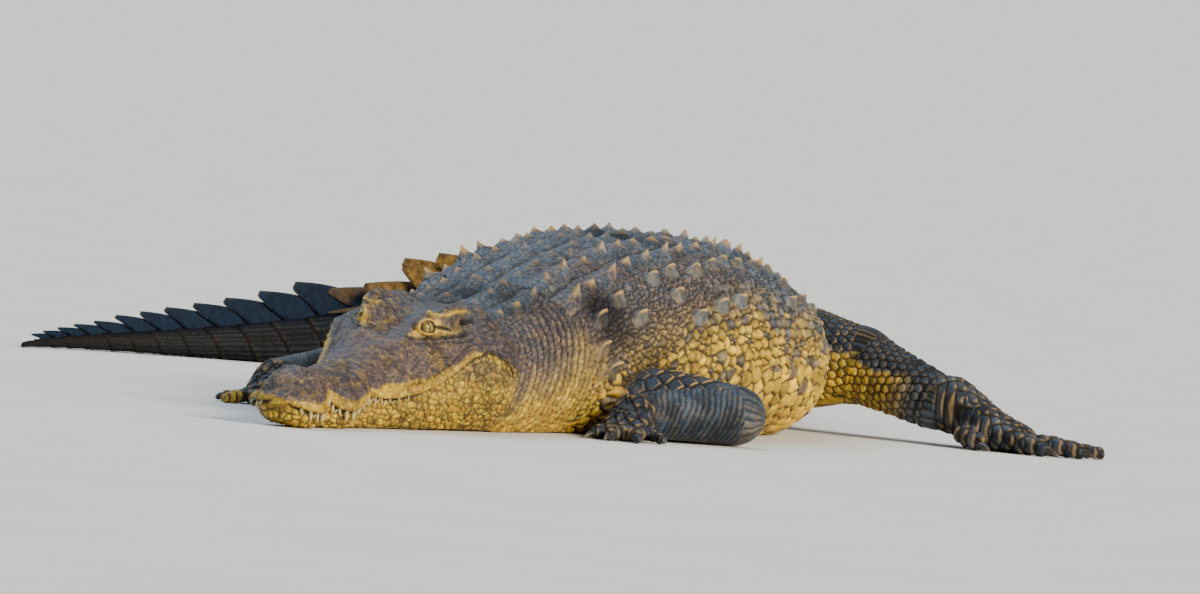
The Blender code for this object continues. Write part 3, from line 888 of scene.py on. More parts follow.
def palm_form(limb: Limb) -> Loft:
    """Palm or sole, from the wrist down to the roots of the toes.

    Args:
        limb: The limb.

    Returns:
        Vertices and faces.
    """
    last, radius = limb.places[2], limb.radii[3]
    turn = math.radians(limb.heading)
    ahead = level(turn)
    side = np.cross(ahead, [0, 0, 1])
    spread = 1.25 if limb.fore else 1.2
    table = (
        (-0.1, 0.8, 0.8, -0.7), (0.1, 1.02, 1.0, -1.02), (0.24, spread * 0.86, 0.52, -1.0),
        (0.38, spread * 0.95, -0.1, -1.0), (0.56, spread * 1.06, -0.6, -1.0),
    )
    rings = []
    angle = 2 * np.pi * np.arange(24) / 24
    for share in np.linspace(-0.1, 0.56, 14):
        width, top, bottom = (float(blend(share, table, column)) for column in (1, 2, 3))
        high = max(last[2] + radius * top, radius * 0.62)
        low = max(0.0, last[2] + radius * bottom) * float(ease((0.34 - share) / 0.3))
        middle = last * [1, 1, 0] + ahead * limb.length * share
        ring = middle + (radius * width * np.cos(angle))[:, None] * side
        ring[:, 2] = np.clip(0.5 * (high + low) + 0.52 * (high - low) * np.sin(angle), low, high)
        rings.append(ring)
    return loft(rings)


def toe_form(limb: Limb, turn: float, reach: float, radius: float) -> Loft:
    """One toe that lies on the floor, with three soft joints and a rounded tip.

    Args:
        limb: The limb.
        turn: The toe's direction in radians.
        reach: Distance from the wrist to its tip.
        radius: Its radius.

    Returns:
        Vertices and faces.
    """
    ahead = level(turn)
    thickness = ((0, 1.05), (0.45, 0.98), (0.85, 0.92), (0.96, 0.76), (1.0, 0.5))
    rise = ((0, 1.6), (0.4, 1.22), (0.8, 0.98), (1.0, 0.62))
    start = 0.26 * limb.length
    points, radii = [], []
    for share in np.linspace(0, 1, 26):
        joint = 1 + 0.1 * math.cos(6 * math.pi * share)
        along = ahead * (start + (reach - start) * share)
        points.append(limb.places[2] * [1, 1, 0] + along + [0, 0, float(blend(share, rise)) * radius * 0.92])
        radii.append(radius * float(blend(share, thickness)) * joint)
    return loft(tube(points, radii, 16))


def limb_forms(limb: Limb) -> list[Loft]:
    """Both lengths of a limb, its palm or sole, and its toes.

    Args:
        limb: The limb.

    Returns:
        One loft of each.
    """
    first, bend, last = limb.places
    parts = [length_form(limb, first, bend, 0.0), length_form(limb, bend, last, limb.lengths[0])]
    return parts + [palm_form(limb)] + [toe_form(limb, *toe) for toe in limb.toes()]


def bare_skin(voxel: float) -> Mesh:
    """One closed skin round all of the flesh.

    Args:
        voxel: Size of its cells.

    Returns:
        The mesh.
    """
    parts = [body_form()] + head_forms()
    for limb in LIMBS:
        parts += limb_forms(limb)
    source = add_object("flesh_source", merged("flesh_source", parts))
    remesh = source.modifiers.new("one_skin", "REMESH")
    remesh.mode = "VOXEL"
    remesh.voxel_size = voxel
    graph = bpy.context.evaluated_depsgraph_get()
    mesh = bpy.data.meshes.new_from_object(source.evaluated_get(graph))
    bpy.data.objects.remove(source)
    mesh.name = "skin"
    return mesh


# ---- Relief and markings ----
@dataclass
class Marks:
    """Relief and colour masks for a set of vertices."""

    height: Array  # how far the surface stands out, in metres
    crease: Array  # 1 in the bottom of a groove, which is painted near black: painted shade
    tone: Array  # random number of each scale
    gold: Array  # 1 where the hide is ochre, 0 where it is slate
    horn: Array  # 1 on pale worn keel tips and scale edges; on the keels it is partly painted sunlight
    dark: Array  # 1 in dark bands and blotches, and in spots of painted shade
    warm: Array  # 1 where the slate hide is browner

    @classmethod
    def blank(cls, count: int) -> Marks:
        """Marks that leave this many vertices bare."""
        return cls(*(np.zeros(count) for _ in range(7)))

    def set_where(self, mask: Array, other: Marks, share: Values = 1.0) -> None:
        """Takes over a share of another set of marks.

        Args:
            mask: The vertices to change.
            other: Marks of those vertices.
            share: How much to take over.
        """
        for name, new in vars(other).items():
            mine = getattr(self, name)
            mine[mask] = mix(mine[mask], new, share)


def pillow(edge: Array, groove: float, depth: float, dome: float = 0.0, size: float = 0.02) -> Array:
    """Relief of a rounded scale: 0 on its rim, -depth in the groove, and a dome that is full at size."""
    return depth * (ease(edge, 0.0, groove) - 1) + dome * ease(edge, 0.0, size)


def groove(edge: Array, width: float) -> Array:
    """1 on a scale's border, 0 further from it than width."""
    return 1 - ease(edge, 0.2 * width, width)


def whorl_places() -> Array:
    """Where the tail's whorls start.

    Returns:
        Distances along the backbone.
    """
    found = [TAIL_ROOT]
    while found[-1] + float(blend(found[-1], CREST_PITCH)) < TAIL_TIP_S - 0.02:
        found.append(found[-1] + float(blend(found[-1], CREST_PITCH)))
    return np.array(found)


WHORLS = whorl_places()


@dataclass(frozen=True)
class TrunkHide:
    """Hide of the neck and trunk. Pairs are the length and width of a scale."""

    pebble: tuple[float, float] = (0.0115, 0.0085)  # upper flank
    dome: tuple[float, float] = (0.021, 0.016)  # half way down the flank
    plate: tuple[float, float] = (0.033, 0.024)  # near the belly
    wrinkle: tuple[float, float] = (0.0065, 0.018)  # between the keels
    oval: tuple[float, float] = (0.066, 0.044)  # bed of one large keeled scale of the flank
    oval_start: float = 0.16  # from the middle of the back to the first row of them
    neck_fold: float = 0.0185  # spacing of the folds round the neck

    @staticmethod
    def bands(s: Array) -> tuple[Array, Array]:
        """Where places lie in the crosswise bands of scutes.

        Args:
            s: Place along the backbone.

        Returns:
            The band's number, and the share of the way along it.
        """
        number, share = np.zeros(len(s)), np.zeros(len(s))
        for start, end, count in (NECK_BANDS, TRUNK_BANDS):
            inside = (s >= start) & (s < end)
            value = (s[inside] - start) / ((end - start) / count)
            number[inside] = np.floor(value) + (0 if start == NECK_BANDS[0] else 100)
            share[inside] = value - np.floor(value)
        return number, share

    @staticmethod
    def keel(share: Array, across: Array, height: Array) -> tuple[Array, Array]:
        """A scute's keel: a low ridge that rises backwards to a thorn and drops behind it.

        Args:
            share: Share of the way along the scute.
            across: Distance from the keel's line.
            height: Height of the thorn.

        Returns:
            The relief, and 1 on the thorn's point.
        """
        ramp = np.clip(share / KEEL_PEAK, 0, 1)
        rise = np.where(share < KEEL_PEAK, 0.3 * ramp + 0.7 * ramp**3.4, 1 - ease(share, KEEL_PEAK, 0.9))
        width = 0.0062 + 0.006 * (1 - rise) + 0.002 * (share > KEEL_PEAK)
        ridge = np.exp(-np.abs(across / width) ** 1.25) * rise
        bed = np.maximum(0.0, 1 - (across / 0.024) ** 2) * np.sin(np.pi * np.clip(share, 0, 1)) ** 0.6
        return height * (0.22 * bed + 0.92 * ridge), ridge

    def shield(self, s: Array, side: Array, arc: Array, points: Array) -> tuple[Marks, Array]:
        """Marks of the back's keeled scutes.

        Args:
            s, side, arc, points: Places on the body, as in marks.

        Returns:
            The Marks, and how much each place belongs to them.
        """
        scute = np.minimum(SCUTE_WIDTH, 0.3 * blend(s, BODY, 1))
        # rows and bands of scutes, each with its own luck
        number, share = self.bands(s + 0.006 * clouds(points, 0.05, 30, 3))
        left = np.where(side > 0, 1, 0)
        bent = arc + 0.005 * clouds(points, 0.05, 31, 3)
        row = np.floor(bent / scute)
        across = bent - (row + 0.5) * scute
        row_id = row * 2 + left
        luck, second = scatter(41, number, row_id), scatter(42, number, row_id)
        across = across + 0.006 * (second - 0.5)
        # keels, higher in the outer rows and few on the neck
        height = np.select([row == 0, row == 1, row == 2], KEEL_HEIGHT, 0.013) * (0.62 + 0.75 * luck)
        neck = s < TRUNK_BANDS[0]
        height = np.where(neck & (number == 0), 0.008 * (row < 2), height)
        height = np.where(neck & (number > 0) & (row >= 2), 0.0, height)
        chip = clouds(points, 0.009, 29, 2)
        share = share + 0.07 * (scatter(43, number, row_id) - 0.5)
        thorn, ridge = self.keel(share, across / (0.85 + 0.65 * second), height * (1 + 0.38 * chip))
        # grooves between scutes, and wrinkles where no keel stands
        edge = np.minimum(np.minimum(share, 1 - share) * SCUTE_LENGTH, scute / 2 - np.abs(across))
        fold = tiles(s + 0.004 * clouds(points, 0.03, 32), arc, *self.wrinkle, 0.95, 33)
        marks = Marks.blank(len(s))
        calm = 1 - 0.7 * ease(ridge, 0.25, 0.6)
        wrinkles = calm * pillow(fold.edge, 0.0026, 0.0013, 0.0004, 0.004)
        marks.height = thorn + pillow(edge, 0.005, 0.0026) + wrinkles
        marks.crease = np.clip(0.65 * groove(edge, 0.0034) + 0.75 * calm * groove(fold.edge, 0.0018), 0, 1)
        marks.tone = mix(luck, fold.tone, 0.7)
        # painted sunlight: the keels are paler on the outer rows and towards the rear of the back
        painted_sun_on_keels = np.maximum(ease(bent, 0.045, 0.11), 0.8 * ease(s, 0.36, 0.55))
        marks.horn = ease(ridge + 0.25 * chip, 0.22, 0.8) * mix(0.22, 0.8, painted_sun_on_keels) * (height > 0.004)
        marks.warm = 0.75 * ease(clouds(points, 0.09, 48, 3) + 2.2 * (arc - 0.11), -0.1, 0.5)
        rim = scute * np.where(neck, 1.75, 2.75 + 0.35 * scatter(45, number, left))
        return marks, ease(rim - bent, -0.008, 0.008)

    def flank(self, s: Array, arc: Array, points: Array) -> Marks:
        """Marks of the flanks: pebbles, round domes and square plates, and keeled ovals.

        Args:
            s, arc, points: Places on the body, as in marks.

        Returns:
            The Marks for every point.
        """
        neck = s < TRUNK_BANDS[0]
        drift = 0.02 * clouds(points, 0.12, 33)
        warp = 0.003 * clouds(points, 0.035, 34), 0.003 * clouds(points, 0.035, 35)
        # three sizes of scales, larger towards the belly
        small = tiles(s + warp[0], arc + warp[1], *self.pebble, 0.85, 51)
        middle = tiles(s + warp[0], arc + warp[1], *self.dome, 0.6, 54)
        large = tiles(s + warp[0], arc, *self.plate, 0.42, 52)
        to_middle = ease(arc + drift + 0.08 * ease(s, 0.0, 0.35), 0.285, 0.345)
        to_large = ease(arc + drift, 0.365, 0.405)
        chance = mix(mix(0.06, 0.88, to_middle), 1.0, to_large) * np.where(neck, 0.5, 1.0)
        is_large = large.tone < to_large
        is_middle = ~is_large & (middle.tone < chance)
        beside = ~is_large & ~is_middle & (middle.other < chance)
        domes = pillow(middle.edge, 0.0046, 0.0032, 0.0026, 0.008)
        plates = pillow(large.edge, 0.005, 0.0028, 0.002, 0.01)
        pebbles = pillow(small.edge, 0.0032, 0.0024, 0.0018, 0.0045)
        pebbles = pebbles + beside * pillow(middle.edge, 0.003, 0.0012)
        marks = Marks.blank(len(s))
        marks.height = np.where(is_large, plates, np.where(is_middle, domes, pebbles))
        grain = np.maximum(groove(small.edge, 0.0026), beside * groove(middle.edge, 0.002))
        grain = np.where(is_middle, groove(middle.edge, 0.0034), grain)
        marks.crease = np.where(is_large, groove(large.edge, 0.0034), grain)
        tone = np.where(is_middle, scatter(55, (middle.tone * 4096).astype(int)), small.tone)
        marks.tone = np.where(is_large, large.tone, tone)
        marks.warm = 0.55 + 0.45 * clouds(points, 0.08, 49, 2)
        # ochre low on the flank, with grey scales strewn in
        gold = ease(arc + 0.045 * clouds(points, 0.1, 36, 3), 0.215, 0.33)
        grey = mix(0.16, 0.1, to_large) + 0.45 * ease(clouds(points, 0.11, 58, 3), 0.1, 0.6)
        grey = scatter(56, (marks.tone * 4096).astype(int)) < grey
        # painted skylight: the rear of the upper flank loses its ochre and brown, so the blue slate shows
        painted_skylight = ease(s, 0.36, 0.56) * (1 - ease(arc + drift, 0.3, 0.42))
        marks.gold = gold * np.where(grey, 0.15, 1.0) * (1 - 0.6 * painted_skylight)
        marks.warm = marks.warm * (1 - painted_skylight)
        # large keeled scales in up to three rows
        oval = tiles(s, arc - self.oval_start, *self.oval, 0.35, 53)
        row = np.floor((arc - self.oval_start) / self.oval[1])
        share = np.select([row == 0, row == 1, row == 2], [0.88, 0.5, 0.3], 0.0)
        picked = (oval.tone < share) & ~neck
        size = np.hypot(oval.along / 0.024, oval.across / 0.0165)
        inside = picked * ease(1.0 - size, 0.0, 0.25)
        rise = np.clip(0.62 + oval.along / 0.05, 0, 1)
        ridge = rise**0.8 * np.exp(-np.abs((oval.across + 0.0075 - 6.0 * oval.along**2) / 0.0042) ** 1.5)
        relief = 0.0105 * ridge * ease(1.0 - size, 0.0, 0.35) + 0.005 * np.maximum(0.0, 1 - size**2)
        marks.height = mix(marks.height, relief, inside)
        ring = picked * bell(size, 1.05, 0.1)
        marks.crease = mix(marks.crease, ring, np.maximum(inside, picked * (size < 1.12)))
        marks.horn = inside * ease(ridge, 0.35, 0.7)
        marks.gold = mix(marks.gold, 0.08, inside)
        marks.warm = mix(marks.warm, 0.0, inside)
        marks.tone = mix(marks.tone, 0.35 + 0.3 * oval.other, inside)
        # faint folds, and lines where the skin is stretched before the thigh
        fold = np.sin((s + 0.01 * clouds(points, 0.06, 34)) * 2 * np.pi / 0.027)
        marks.height = marks.height + 0.0014 * fold * ease(arc, 0.15, 0.2)
        stretched = ease(s, 0.5, 0.68) * ease(arc, 0.27, 0.33)
        line = np.abs(np.sin((s + 0.006 * clouds(points, 0.05, 39)) * np.pi / 0.02))
        marks.height = marks.height + 0.0024 * stretched * (line**0.7 - 0.6)
        marks.crease = np.maximum(marks.crease, 0.7 * stretched * (1 - ease(line, 0.0, 0.3)))
        return marks

    def neck(self, s: Array, arc: Array, points: Array) -> tuple[Marks, Array]:
        """Marks of the loose folds round the neck.

        Args:
            s, arc, points: Places on the body, as in marks.

        Returns:
            The Marks, and how much each place belongs to them.
        """
        bow = -0.42 * (arc - 0.15)
        wave = np.abs(np.sin((s - bow + 0.012 * clouds(points, 0.07, 35, 3)) * np.pi / self.neck_fold))
        beads = tiles(s - bow, arc + 0.002 * clouds(points, 0.03, 46), 0.0095, 0.0085, 0.6, 57)
        marks = Marks.blank(len(s))
        marks.height = 0.0075 * (wave**0.6 - 0.7) + pillow(beads.edge, 0.0026, 0.0012, 0.0006, 0.004)
        marks.crease = np.maximum(0.45 * groove(beads.edge, 0.002), 1 - ease(wave, 0.22, 0.72))
        marks.warm = 0.75 + 0.25 * clouds(points, 0.04, 50)
        marks.tone = beads.tone
        marks.gold = 0.92 * ease(arc + 0.04 * clouds(points, 0.05, 37), 0.165, 0.27)
        marks.horn = 0.35 * (beads.tone > 0.65) * ease(beads.edge, 0.001, 0.003) * ease(wave, 0.5, 0.9)
        return marks, ease(-s, 0.02, 0.14) * ease(arc + 0.02 * clouds(points, 0.05, 47), 0.085, 0.13)

    def marks(self, s: Array, side: Array, arc: Array, points: Array) -> Marks:
        """Marks of the neck and trunk.

        Args:
            s: Place along the backbone.
            side: Distance left of the midline.
            arc: Way round the body from the middle of the back.
            points: World points.

        Returns:
            The Marks for every point.
        """
        whole = np.ones(len(s), bool)
        marks = self.flank(s, arc, points)
        marks.set_where(whole, *self.neck(s, arc, points))
        marks.set_where(whole, *self.shield(s, side, arc, points))
        blotch = ease(clouds(points, 0.16, 38, 3), 0.05, 0.55) * (0.35 + 0.65 * ease(0.3 - arc, 0.0, 0.15))
        # painted shade: a dark spot low on the flank round the root of each arm
        marks.dark = np.maximum(blotch, 0.9 * bell(np.hypot((s - 0.06) * 0.8, arc - 0.325), 0.0, 0.045))
        return marks


@dataclass(frozen=True)
class TailHide:
    """Hide of the tail: whorls of square scales, the lower ones ochre."""

    split: float = 0.3  # share of the scales that are broken into small ones
    band: float = 0.235  # length of one dark and one pale band
    black_and_shade: tuple[float, float] = (1.9, 2.3)  # the tail turns black between these places: partly its own dark colour, partly painted shade
    slant: float = 0.55  # lean of the whorls, as a share of the depth below the tail's top

    def marks(self, s: Array, side: Array, arc: Array, height: Array, points: Array) -> Marks:
        """Marks of the tail.

        Args:
            s: Place along the backbone.
            side: Distance left of the midline.
            arc: Way round the body from the middle of the back.
            height: Height above the floor.
            points: World points.

        Returns:
            The Marks for every point.
        """
        # whorls that lean, cut into square scales
        s = s + self.slant * np.clip(blend(s, BODY, 2) - height, 0.0, None)
        number = np.clip(np.searchsorted(WHORLS, s, side="right") - 1, 0, len(WHORLS) - 2)
        pitch = WHORLS[number + 1] - WHORLS[number]
        share = (s - WHORLS[number]) / pitch
        left = np.where(side > 0, 1, 0)
        across = np.clip(0.3 * blend(s, BODY, 1), 0.006, 0.03)
        column = arc / across + 0.35 * (scatter(61, number, left) - 0.5)
        row = np.floor(column)
        column -= row
        edge = np.minimum(np.minimum(share, 1 - share) * pitch, np.minimum(column, 1 - column) * across)
        luck = scatter(62, number, row * 2 + left)
        half = tiles(s, arc, 0.016, 0.013, 0.6, 63)
        split = (luck < self.split) & (row > 1)
        wear = clouds(points, 0.012, 66, 3)
        marks = Marks.blank(len(s))
        marks.height = pillow(edge, 0.0045, 0.0032, 0.0018, 0.012) + 0.002 * (share - 0.5) + 0.0007 * wear
        marks.height += np.where(split, pillow(half.edge, 0.003, 0.0014, 0.0005), 0.0)
        marks.crease = np.maximum(groove(edge, 0.0036), split * 0.8 * groove(half.edge, 0.002))
        black_and_shade = ease(s, *self.black_and_shade)
        # painted shade towards the tip: the scales lose their lighter tones
        marks.tone = luck * (1 - 0.75 * black_and_shade)
        # ochre below, dark bands, and black towards the tip, which is partly painted shade
        low = blend(s, BODY, 3) * 0.85 - height + 0.02 * clouds(points, 0.1, 64, 3)
        marks.gold = 0.85 * ease(low, 0.0, 0.05) * (1 - 0.96 * black_and_shade)
        wave = np.sin(2 * np.pi * (s - 1.1) / self.band + 0.9 * clouds(points, 0.09, 65))
        marks.dark = np.maximum(ease(wave, -0.15, 0.35), black_and_shade)
        marks.horn = 0.12 * bell(share, 0.93, 0.05) * ease(edge, 0.001, 0.004) * ease(wear, -0.2, 0.4)
        return marks


@dataclass(frozen=True)
class LimbHide:
    """Hide of the limbs: crosswise rows of scales, each as long as its number here."""

    arm_row: float = 0.02
    leg_row: float = 0.013
    rib: float = 0.0105  # on the forearm and the back of the hand
    ankle_fold: float = 0.022  # on the shank
    toe_row: float = 0.012

    def marks(self, limb: Limb, points: Array) -> Marks:
        """Marks of one limb.

        Args:
            limb: The limb.
            points: World points.

        Returns:
            The Marks for every point.
        """
        along, angle, _ = limb.find(points)
        foot_along, foot_across, _ = limb.find_foot(points)
        last = limb.places[2]
        upper, whole = limb.lengths[0], sum(limb.lengths)
        turn = math.radians(limb.heading)
        beyond = (points - last) @ level(turn)
        away = np.linalg.norm((points - last)[:, :2], axis=1)
        in_foot = ease(beyond, -0.005, 0.02) * (away < limb.length * 1.2)
        # rows of scales that lap over each other
        around = angle * limb.radius_at(along)
        bent = along + 0.005 * clouds(points, 0.05, 71) + 0.1 * np.abs(around)
        row = self.arm_row if limb.fore else self.leg_row
        scales = tiles(around, bent, 0.034 if limb.fore else 0.017, row, 0.3, 72)
        lap = np.clip(0.5 + scales.across / row, 0, 1)
        lower = ease(along, upper * 0.8, upper * 1.05)
        marks = Marks.blank(len(points))
        relief = pillow(scales.edge, 0.003, 0.0018, 0.0008, 0.006) + 0.16 * row * (lap - 0.5)
        crease = groove(scales.edge, 0.0026)
        if limb.fore:
            ribs = bent + 0.45 * around + 0.006 * clouds(points, 0.035, 80, 3)
            ribs = np.abs(np.sin(ribs * np.pi / self.rib))
            relief = mix(relief, 0.0036 * (ribs**0.6 - 0.6), lower)
            crease = mix(crease, 1 - ease(ribs, 0.05, 0.6), lower)
        else:
            folds = np.abs(np.sin(bent * np.pi / self.ankle_fold))
            ankle = ease(along, whole - 0.11, whole - 0.03)
            relief = relief + (0.0014 + 0.003 * ankle) * lower * (folds**0.7 - 0.6)
            crease = np.maximum(crease, lower * 0.8 * (1 - ease(folds, 0.0, 0.3)))
        # plates across the toes
        toes = tiles(foot_across, foot_along, 0.024, self.toe_row, 0.15, 73)
        toe_lap = np.clip(0.5 + toes.across / self.toe_row, 0, 1)
        toe_relief = pillow(toes.edge, 0.003, 0.0018, 0.0006, 0.005) + 0.002 * (toe_lap - 0.5)
        marks.height = mix(relief, toe_relief, in_foot)
        marks.crease = mix(crease, groove(toes.edge, 0.0026), in_foot)
        marks.tone = np.where(in_foot > 0.5, toes.tone, scales.tone)
        # ochre below, pale rear edges, dark above and on the foot
        up = np.cos(angle)
        mottle = clouds(points, 0.05, 74, 3) + 0.5 * clouds(points, 0.014, 79)
        low = ease((0.1 if limb.fore else 0.5) - up + 0.4 * mottle, 0.0, 0.3)
        keep = (1 - lower) if limb.fore else 1 - ease(along, whole - 0.09, whole - 0.02)
        marks.gold = mix(low * keep, 0.12 * ease(clouds(points, 0.03, 75), 0.0, 0.6), in_foot)
        rim = ease(lap, 0.62, 0.85) * ease(scales.edge, 0.0004, 0.0014)
        rim = rim * (1 - ease(scales.edge, 0.0026, 0.0046))
        wear = ease(clouds(points, 0.05, 76), -0.5, 0.2) * (1 - (lower if limb.fore else 0.7 * lower))
        marks.horn = (0.8 if limb.fore else 0.55) * rim * wear
        marks.horn = mix(marks.horn, 0.35 * ease(toe_lap, 0.75, 0.95), in_foot)
        bands = np.sin(2 * np.pi * (along + 0.02 * clouds(points, 0.06, 77)) / 0.085)
        marks.dark = np.maximum(ease(bands, 0.1, 0.6) * (0.4 + 0.4 * up), 0.75 * ease(up, 0.1, 0.5))
        marks.dark = mix(marks.dark, 0.3 + 0.35 * ease(mottle, -0.3, 0.4), 0.9 * lower * limb.fore)
        marks.dark = mix(marks.dark, 0.55 + 0.35 * ease(clouds(points, 0.03, 78), -0.2, 0.4), in_foot)
        return marks


@dataclass(frozen=True)
class HeadHide:
    """Hide of the head: cracked rather than scaled, with a golden lip band and jaw."""

    jaw_plate: float = 0.0105  # on the jaw and cheek
    crack: float = 0.0056  # plates between the fine cracks on the snout
    # t and height of the lower lid's edge
    lid_line: Table = ((0.345, 0.15), (0.378, 0.152), (0.415, 0.158), (0.446, 0.165), (0.47, 0.1735))
    # t and height of the crease behind the mouth
    cheek_fold: Table = ((0.448, 0.136), (0.471, 0.143), (0.5, 0.138), (0.535, 0.121), (0.565, 0.094))
    # t, sideways distance and height of the upper lid's edge
    brow: Table = ((0.372, 0.05, 0.183), (0.411, 0.048, 0.191), (0.44, 0.06, 0.198), (0.482, 0.07, 0.2))
    # first and last t, height at its front, slope
    ear: tuple[float, float, float, float] = (0.446, 0.508, 0.18, 0.12)
    nostril: tuple[float, float] = (0.042, 0.0155)  # t and sideways distance
    lip_top: Table = (  # t, and how far the golden band reaches above the lip
        (0.0, 0.014), (0.03, 0.022), (0.1, 0.026), (0.15, 0.024), (0.19, 0.019), (0.225, 0.021),
        (0.26, 0.033), (0.3, 0.029), (0.36, 0.022), (0.42, 0.015), (0.6, 0.012),
    )

    def lip_band(self, t: Array, above: Array, patch: Array) -> Array:
        """1 in the golden band over the lip, which is highest where the snout is waisted."""
        top = blend(t, self.lip_top)
        return ease(top - above + 0.009 * patch, 0.0, 0.006)

    def marks(self, t: Array, side: Array, height: Array, points: Array) -> Marks:
        """Marks of the head.

        Args:
            t: Distance behind the snout's tip.
            side: Distance left of the midline.
            height: Height above the floor, before the head's lean.
            points: World points.

        Returns:
            The Marks for every point.
        """
        out = np.abs(side)
        lip, width = blend(t, MOUTH_LINE), blend(t, HEAD_WIDTH)
        above = height - lip
        local = np.stack([t, side, height], axis=1)
        warped = local + 0.003 * np.stack([clouds(local, 0.02, seed) for seed in (82, 83, 84)], axis=1)
        coarse = crackle(warped * [0.7, 1.0, 1.0], self.jaw_plate, 81)
        fine = crackle(warped * [0.75, 1.0, 1.0], self.crack, 85)
        rugged = clouds(local, 0.018, 88, 3)
        pits = clouds(local, 0.0075, 87, 2)
        jaw = ease(-above, -0.004, 0.006)
        cheek = ease(t, 0.33, 0.43) * ease(0.125 - height + 0.6 * (t - 0.4), 0.0, 0.02)
        # plates on jaw and cheek, cracks elsewhere
        plates = np.clip(jaw + 0.9 * cheek, 0, 1)
        broken = ease(coarse.tone, 0.4, 0.45)
        plate_relief = pillow(coarse.edge, 0.0024, 0.0015, 0.001, 0.004)
        plate_relief = plate_relief + broken * pillow(fine.edge, 0.0014, 0.0008)
        snout_relief = pillow(fine.edge, 0.0018, 0.0009, 0.0003, 0.002) + 0.0019 * rugged + 0.001 * pits
        marks = Marks.blank(len(t))
        marks.height = mix(snout_relief, plate_relief, plates)
        cracks = np.maximum(0.86 * groove(coarse.edge, 0.0017), 0.45 * broken * groove(fine.edge, 0.0011))
        marks.crease = mix(0.55 * groove(fine.edge, 0.0012), cracks, plates)
        plate_tone = mix(coarse.tone, fine.tone, 0.5 * broken)
        marks.tone = mix(mix(fine.tone, 0.5 + 0.5 * pits, 0.5), plate_tone, plates)
        # golden lip band and jaw, dark clouds on the snout
        patch = clouds(local, 0.03, 89, 3)
        gold = self.lip_band(t, above, patch) * (1 - 0.5 * ease(t, 0.5, 0.58))
        gold *= 1 - 0.65 * ease(-above, 0.0, 0.008) * ease(height + 0.012 * patch, 0.085, 0.118)
        marks.gold = np.maximum(gold, 0.3 * ease(patch + 0.5 * pits, 0.15, 0.55) * (1 - plates))
        marks.warm = np.clip(0.85 + 0.5 * clouds(local, 0.045, 93), 0, 1)
        # painted skylight: the crown loses its brown, so the blue slate shows
        marks.warm = marks.warm * (1 - 0.6 * ease(height, 0.16, 0.2))
        marks.dark = ease(patch + 0.45 * rugged, 0.05, 0.5) * mix(0.6, 0.15, plates)
        # painted shade: a dark patch in the hollow of the snout's side, above the lip
        marks.dark = np.maximum(marks.dark, 0.55 * bell(t, 0.152, 0.018) * bell(above, 0.05, 0.024))
        marks.horn = 0.3 * ease(rugged + 0.5 * pits, 0.15, 0.7) * (1 - plates)
        self.carve_mouth(marks, t, out, height, above, width)
        self.carve_eye_and_ear(marks, t, out, height)
        return marks

    def carve_mouth(
        self, marks: Marks, t: Array, out: Array, height: Array, above: Array, width: Array,
    ) -> None:
        """Adds the lips, the fold behind the corner of the mouth and the nostrils.

        Args:
            marks: Marks of the head, which are changed.
            t, out, height: Places on the head.
            above: Height above the lip.
            width: Half the width of the head.
        """
        on_side = (out > 0.7 * width) & (t < MOUTH_CORNER + 0.02)
        lips = on_side * (1 - ease(t, MOUTH_CORNER - 0.02, MOUTH_CORNER + 0.02))
        scallops = 0.55 + 0.45 * np.abs(np.sin(t * np.pi / 0.021))
        marks.height += 0.0024 * lips * bell(above, 0.009, 0.0065) * scallops
        line = lips * bell(above, 0.0005, 0.0028)
        band = ease(t, 0.29, 0.34) * (1 - ease(t, 0.455, 0.475)) * (out > 0.6 * width)
        marks.height += 0.0034 * band * bell(above, 0.01, 0.007)
        under = band * bell(above, 0.0205, 0.002)
        fold = ease(t, 0.448, 0.456) * (1 - ease(t, 0.54, 0.568)) * (out > 0.05)
        fold = fold * bell(height, blend(t, self.cheek_fold), 0.0034)
        at, away = self.nostril
        gap = np.hypot((t - at) / 1.3, out - away)
        crescent = bell(gap, 0.0055, 0.0016) * (t > at - 0.004) * (height > 0.075)
        marks.height -= 0.006 * line + 0.005 * fold + 0.0016 * under + 0.0035 * crescent
        marks.crease = np.clip(marks.crease + line + fold + 0.4 * under + crescent, 0, 1)

    def carve_eye_and_ear(self, marks: Marks, t: Array, out: Array, height: Array) -> None:
        """Adds the lower lid's pouch, the grooves behind the eye, the brow's edge and the ear.

        Args:
            marks: Marks of the head, which are changed.
            t, out, height: Places on the head.
        """
        near = (out > 0.02) & (height > 0.12)
        lid = blend(t, self.lid_line)
        along = ease(t, 0.345, 0.354) * (1 - ease(t, 0.452, 0.462)) * near
        edge = along * bell(height, lid, 0.0022)
        second = along * bell(height, lid - 0.0066, 0.0016)
        high = blend(t, self.brow, 2)
        brow = ease(t, 0.368, 0.384) * (1 - ease(t, 0.47, 0.49)) * bell(height, high, 0.0034)
        brow = brow * ease(out - blend(t, self.brow, 1), -0.012, -0.004)
        first, last, front, slope = self.ear
        ear = near * ease(t, first, first + 0.006) * (1 - ease(t, last - 0.01, last))
        ear = ear * bell(height, front + slope * (t - first), 0.0022) * (out > 0.05)
        mound = ease(height, 0.184, 0.202) * bell(t, 0.415, 0.045) * ease(out, 0.028, 0.045)
        marks.height += 0.0042 * brow - 0.0034 * edge - 0.0012 * second - 0.0045 * ear - 0.008 * mound
        marks.crease = np.clip(marks.crease * (1 - 0.5 * brow) + 0.9 * edge + 0.5 * second + ear, 0, 1)
        pouch = near * ease(t, 0.345, 0.36) * (1 - ease(t, 0.465, 0.48)) * ease(height - lid, 0.0005, 0.003)
        pouch = pouch * (1 - ease(height - high, -0.01, 0.0))
        pouch = pouch * ease(out - blend(t, self.brow, 1), -0.016, -0.006)
        yellow = 0.66 - 0.56 * ease(height, 0.165, 0.174)
        marks.gold = np.clip(np.maximum(marks.gold, np.maximum(yellow * pouch, 0.95 * brow)), 0, 1)
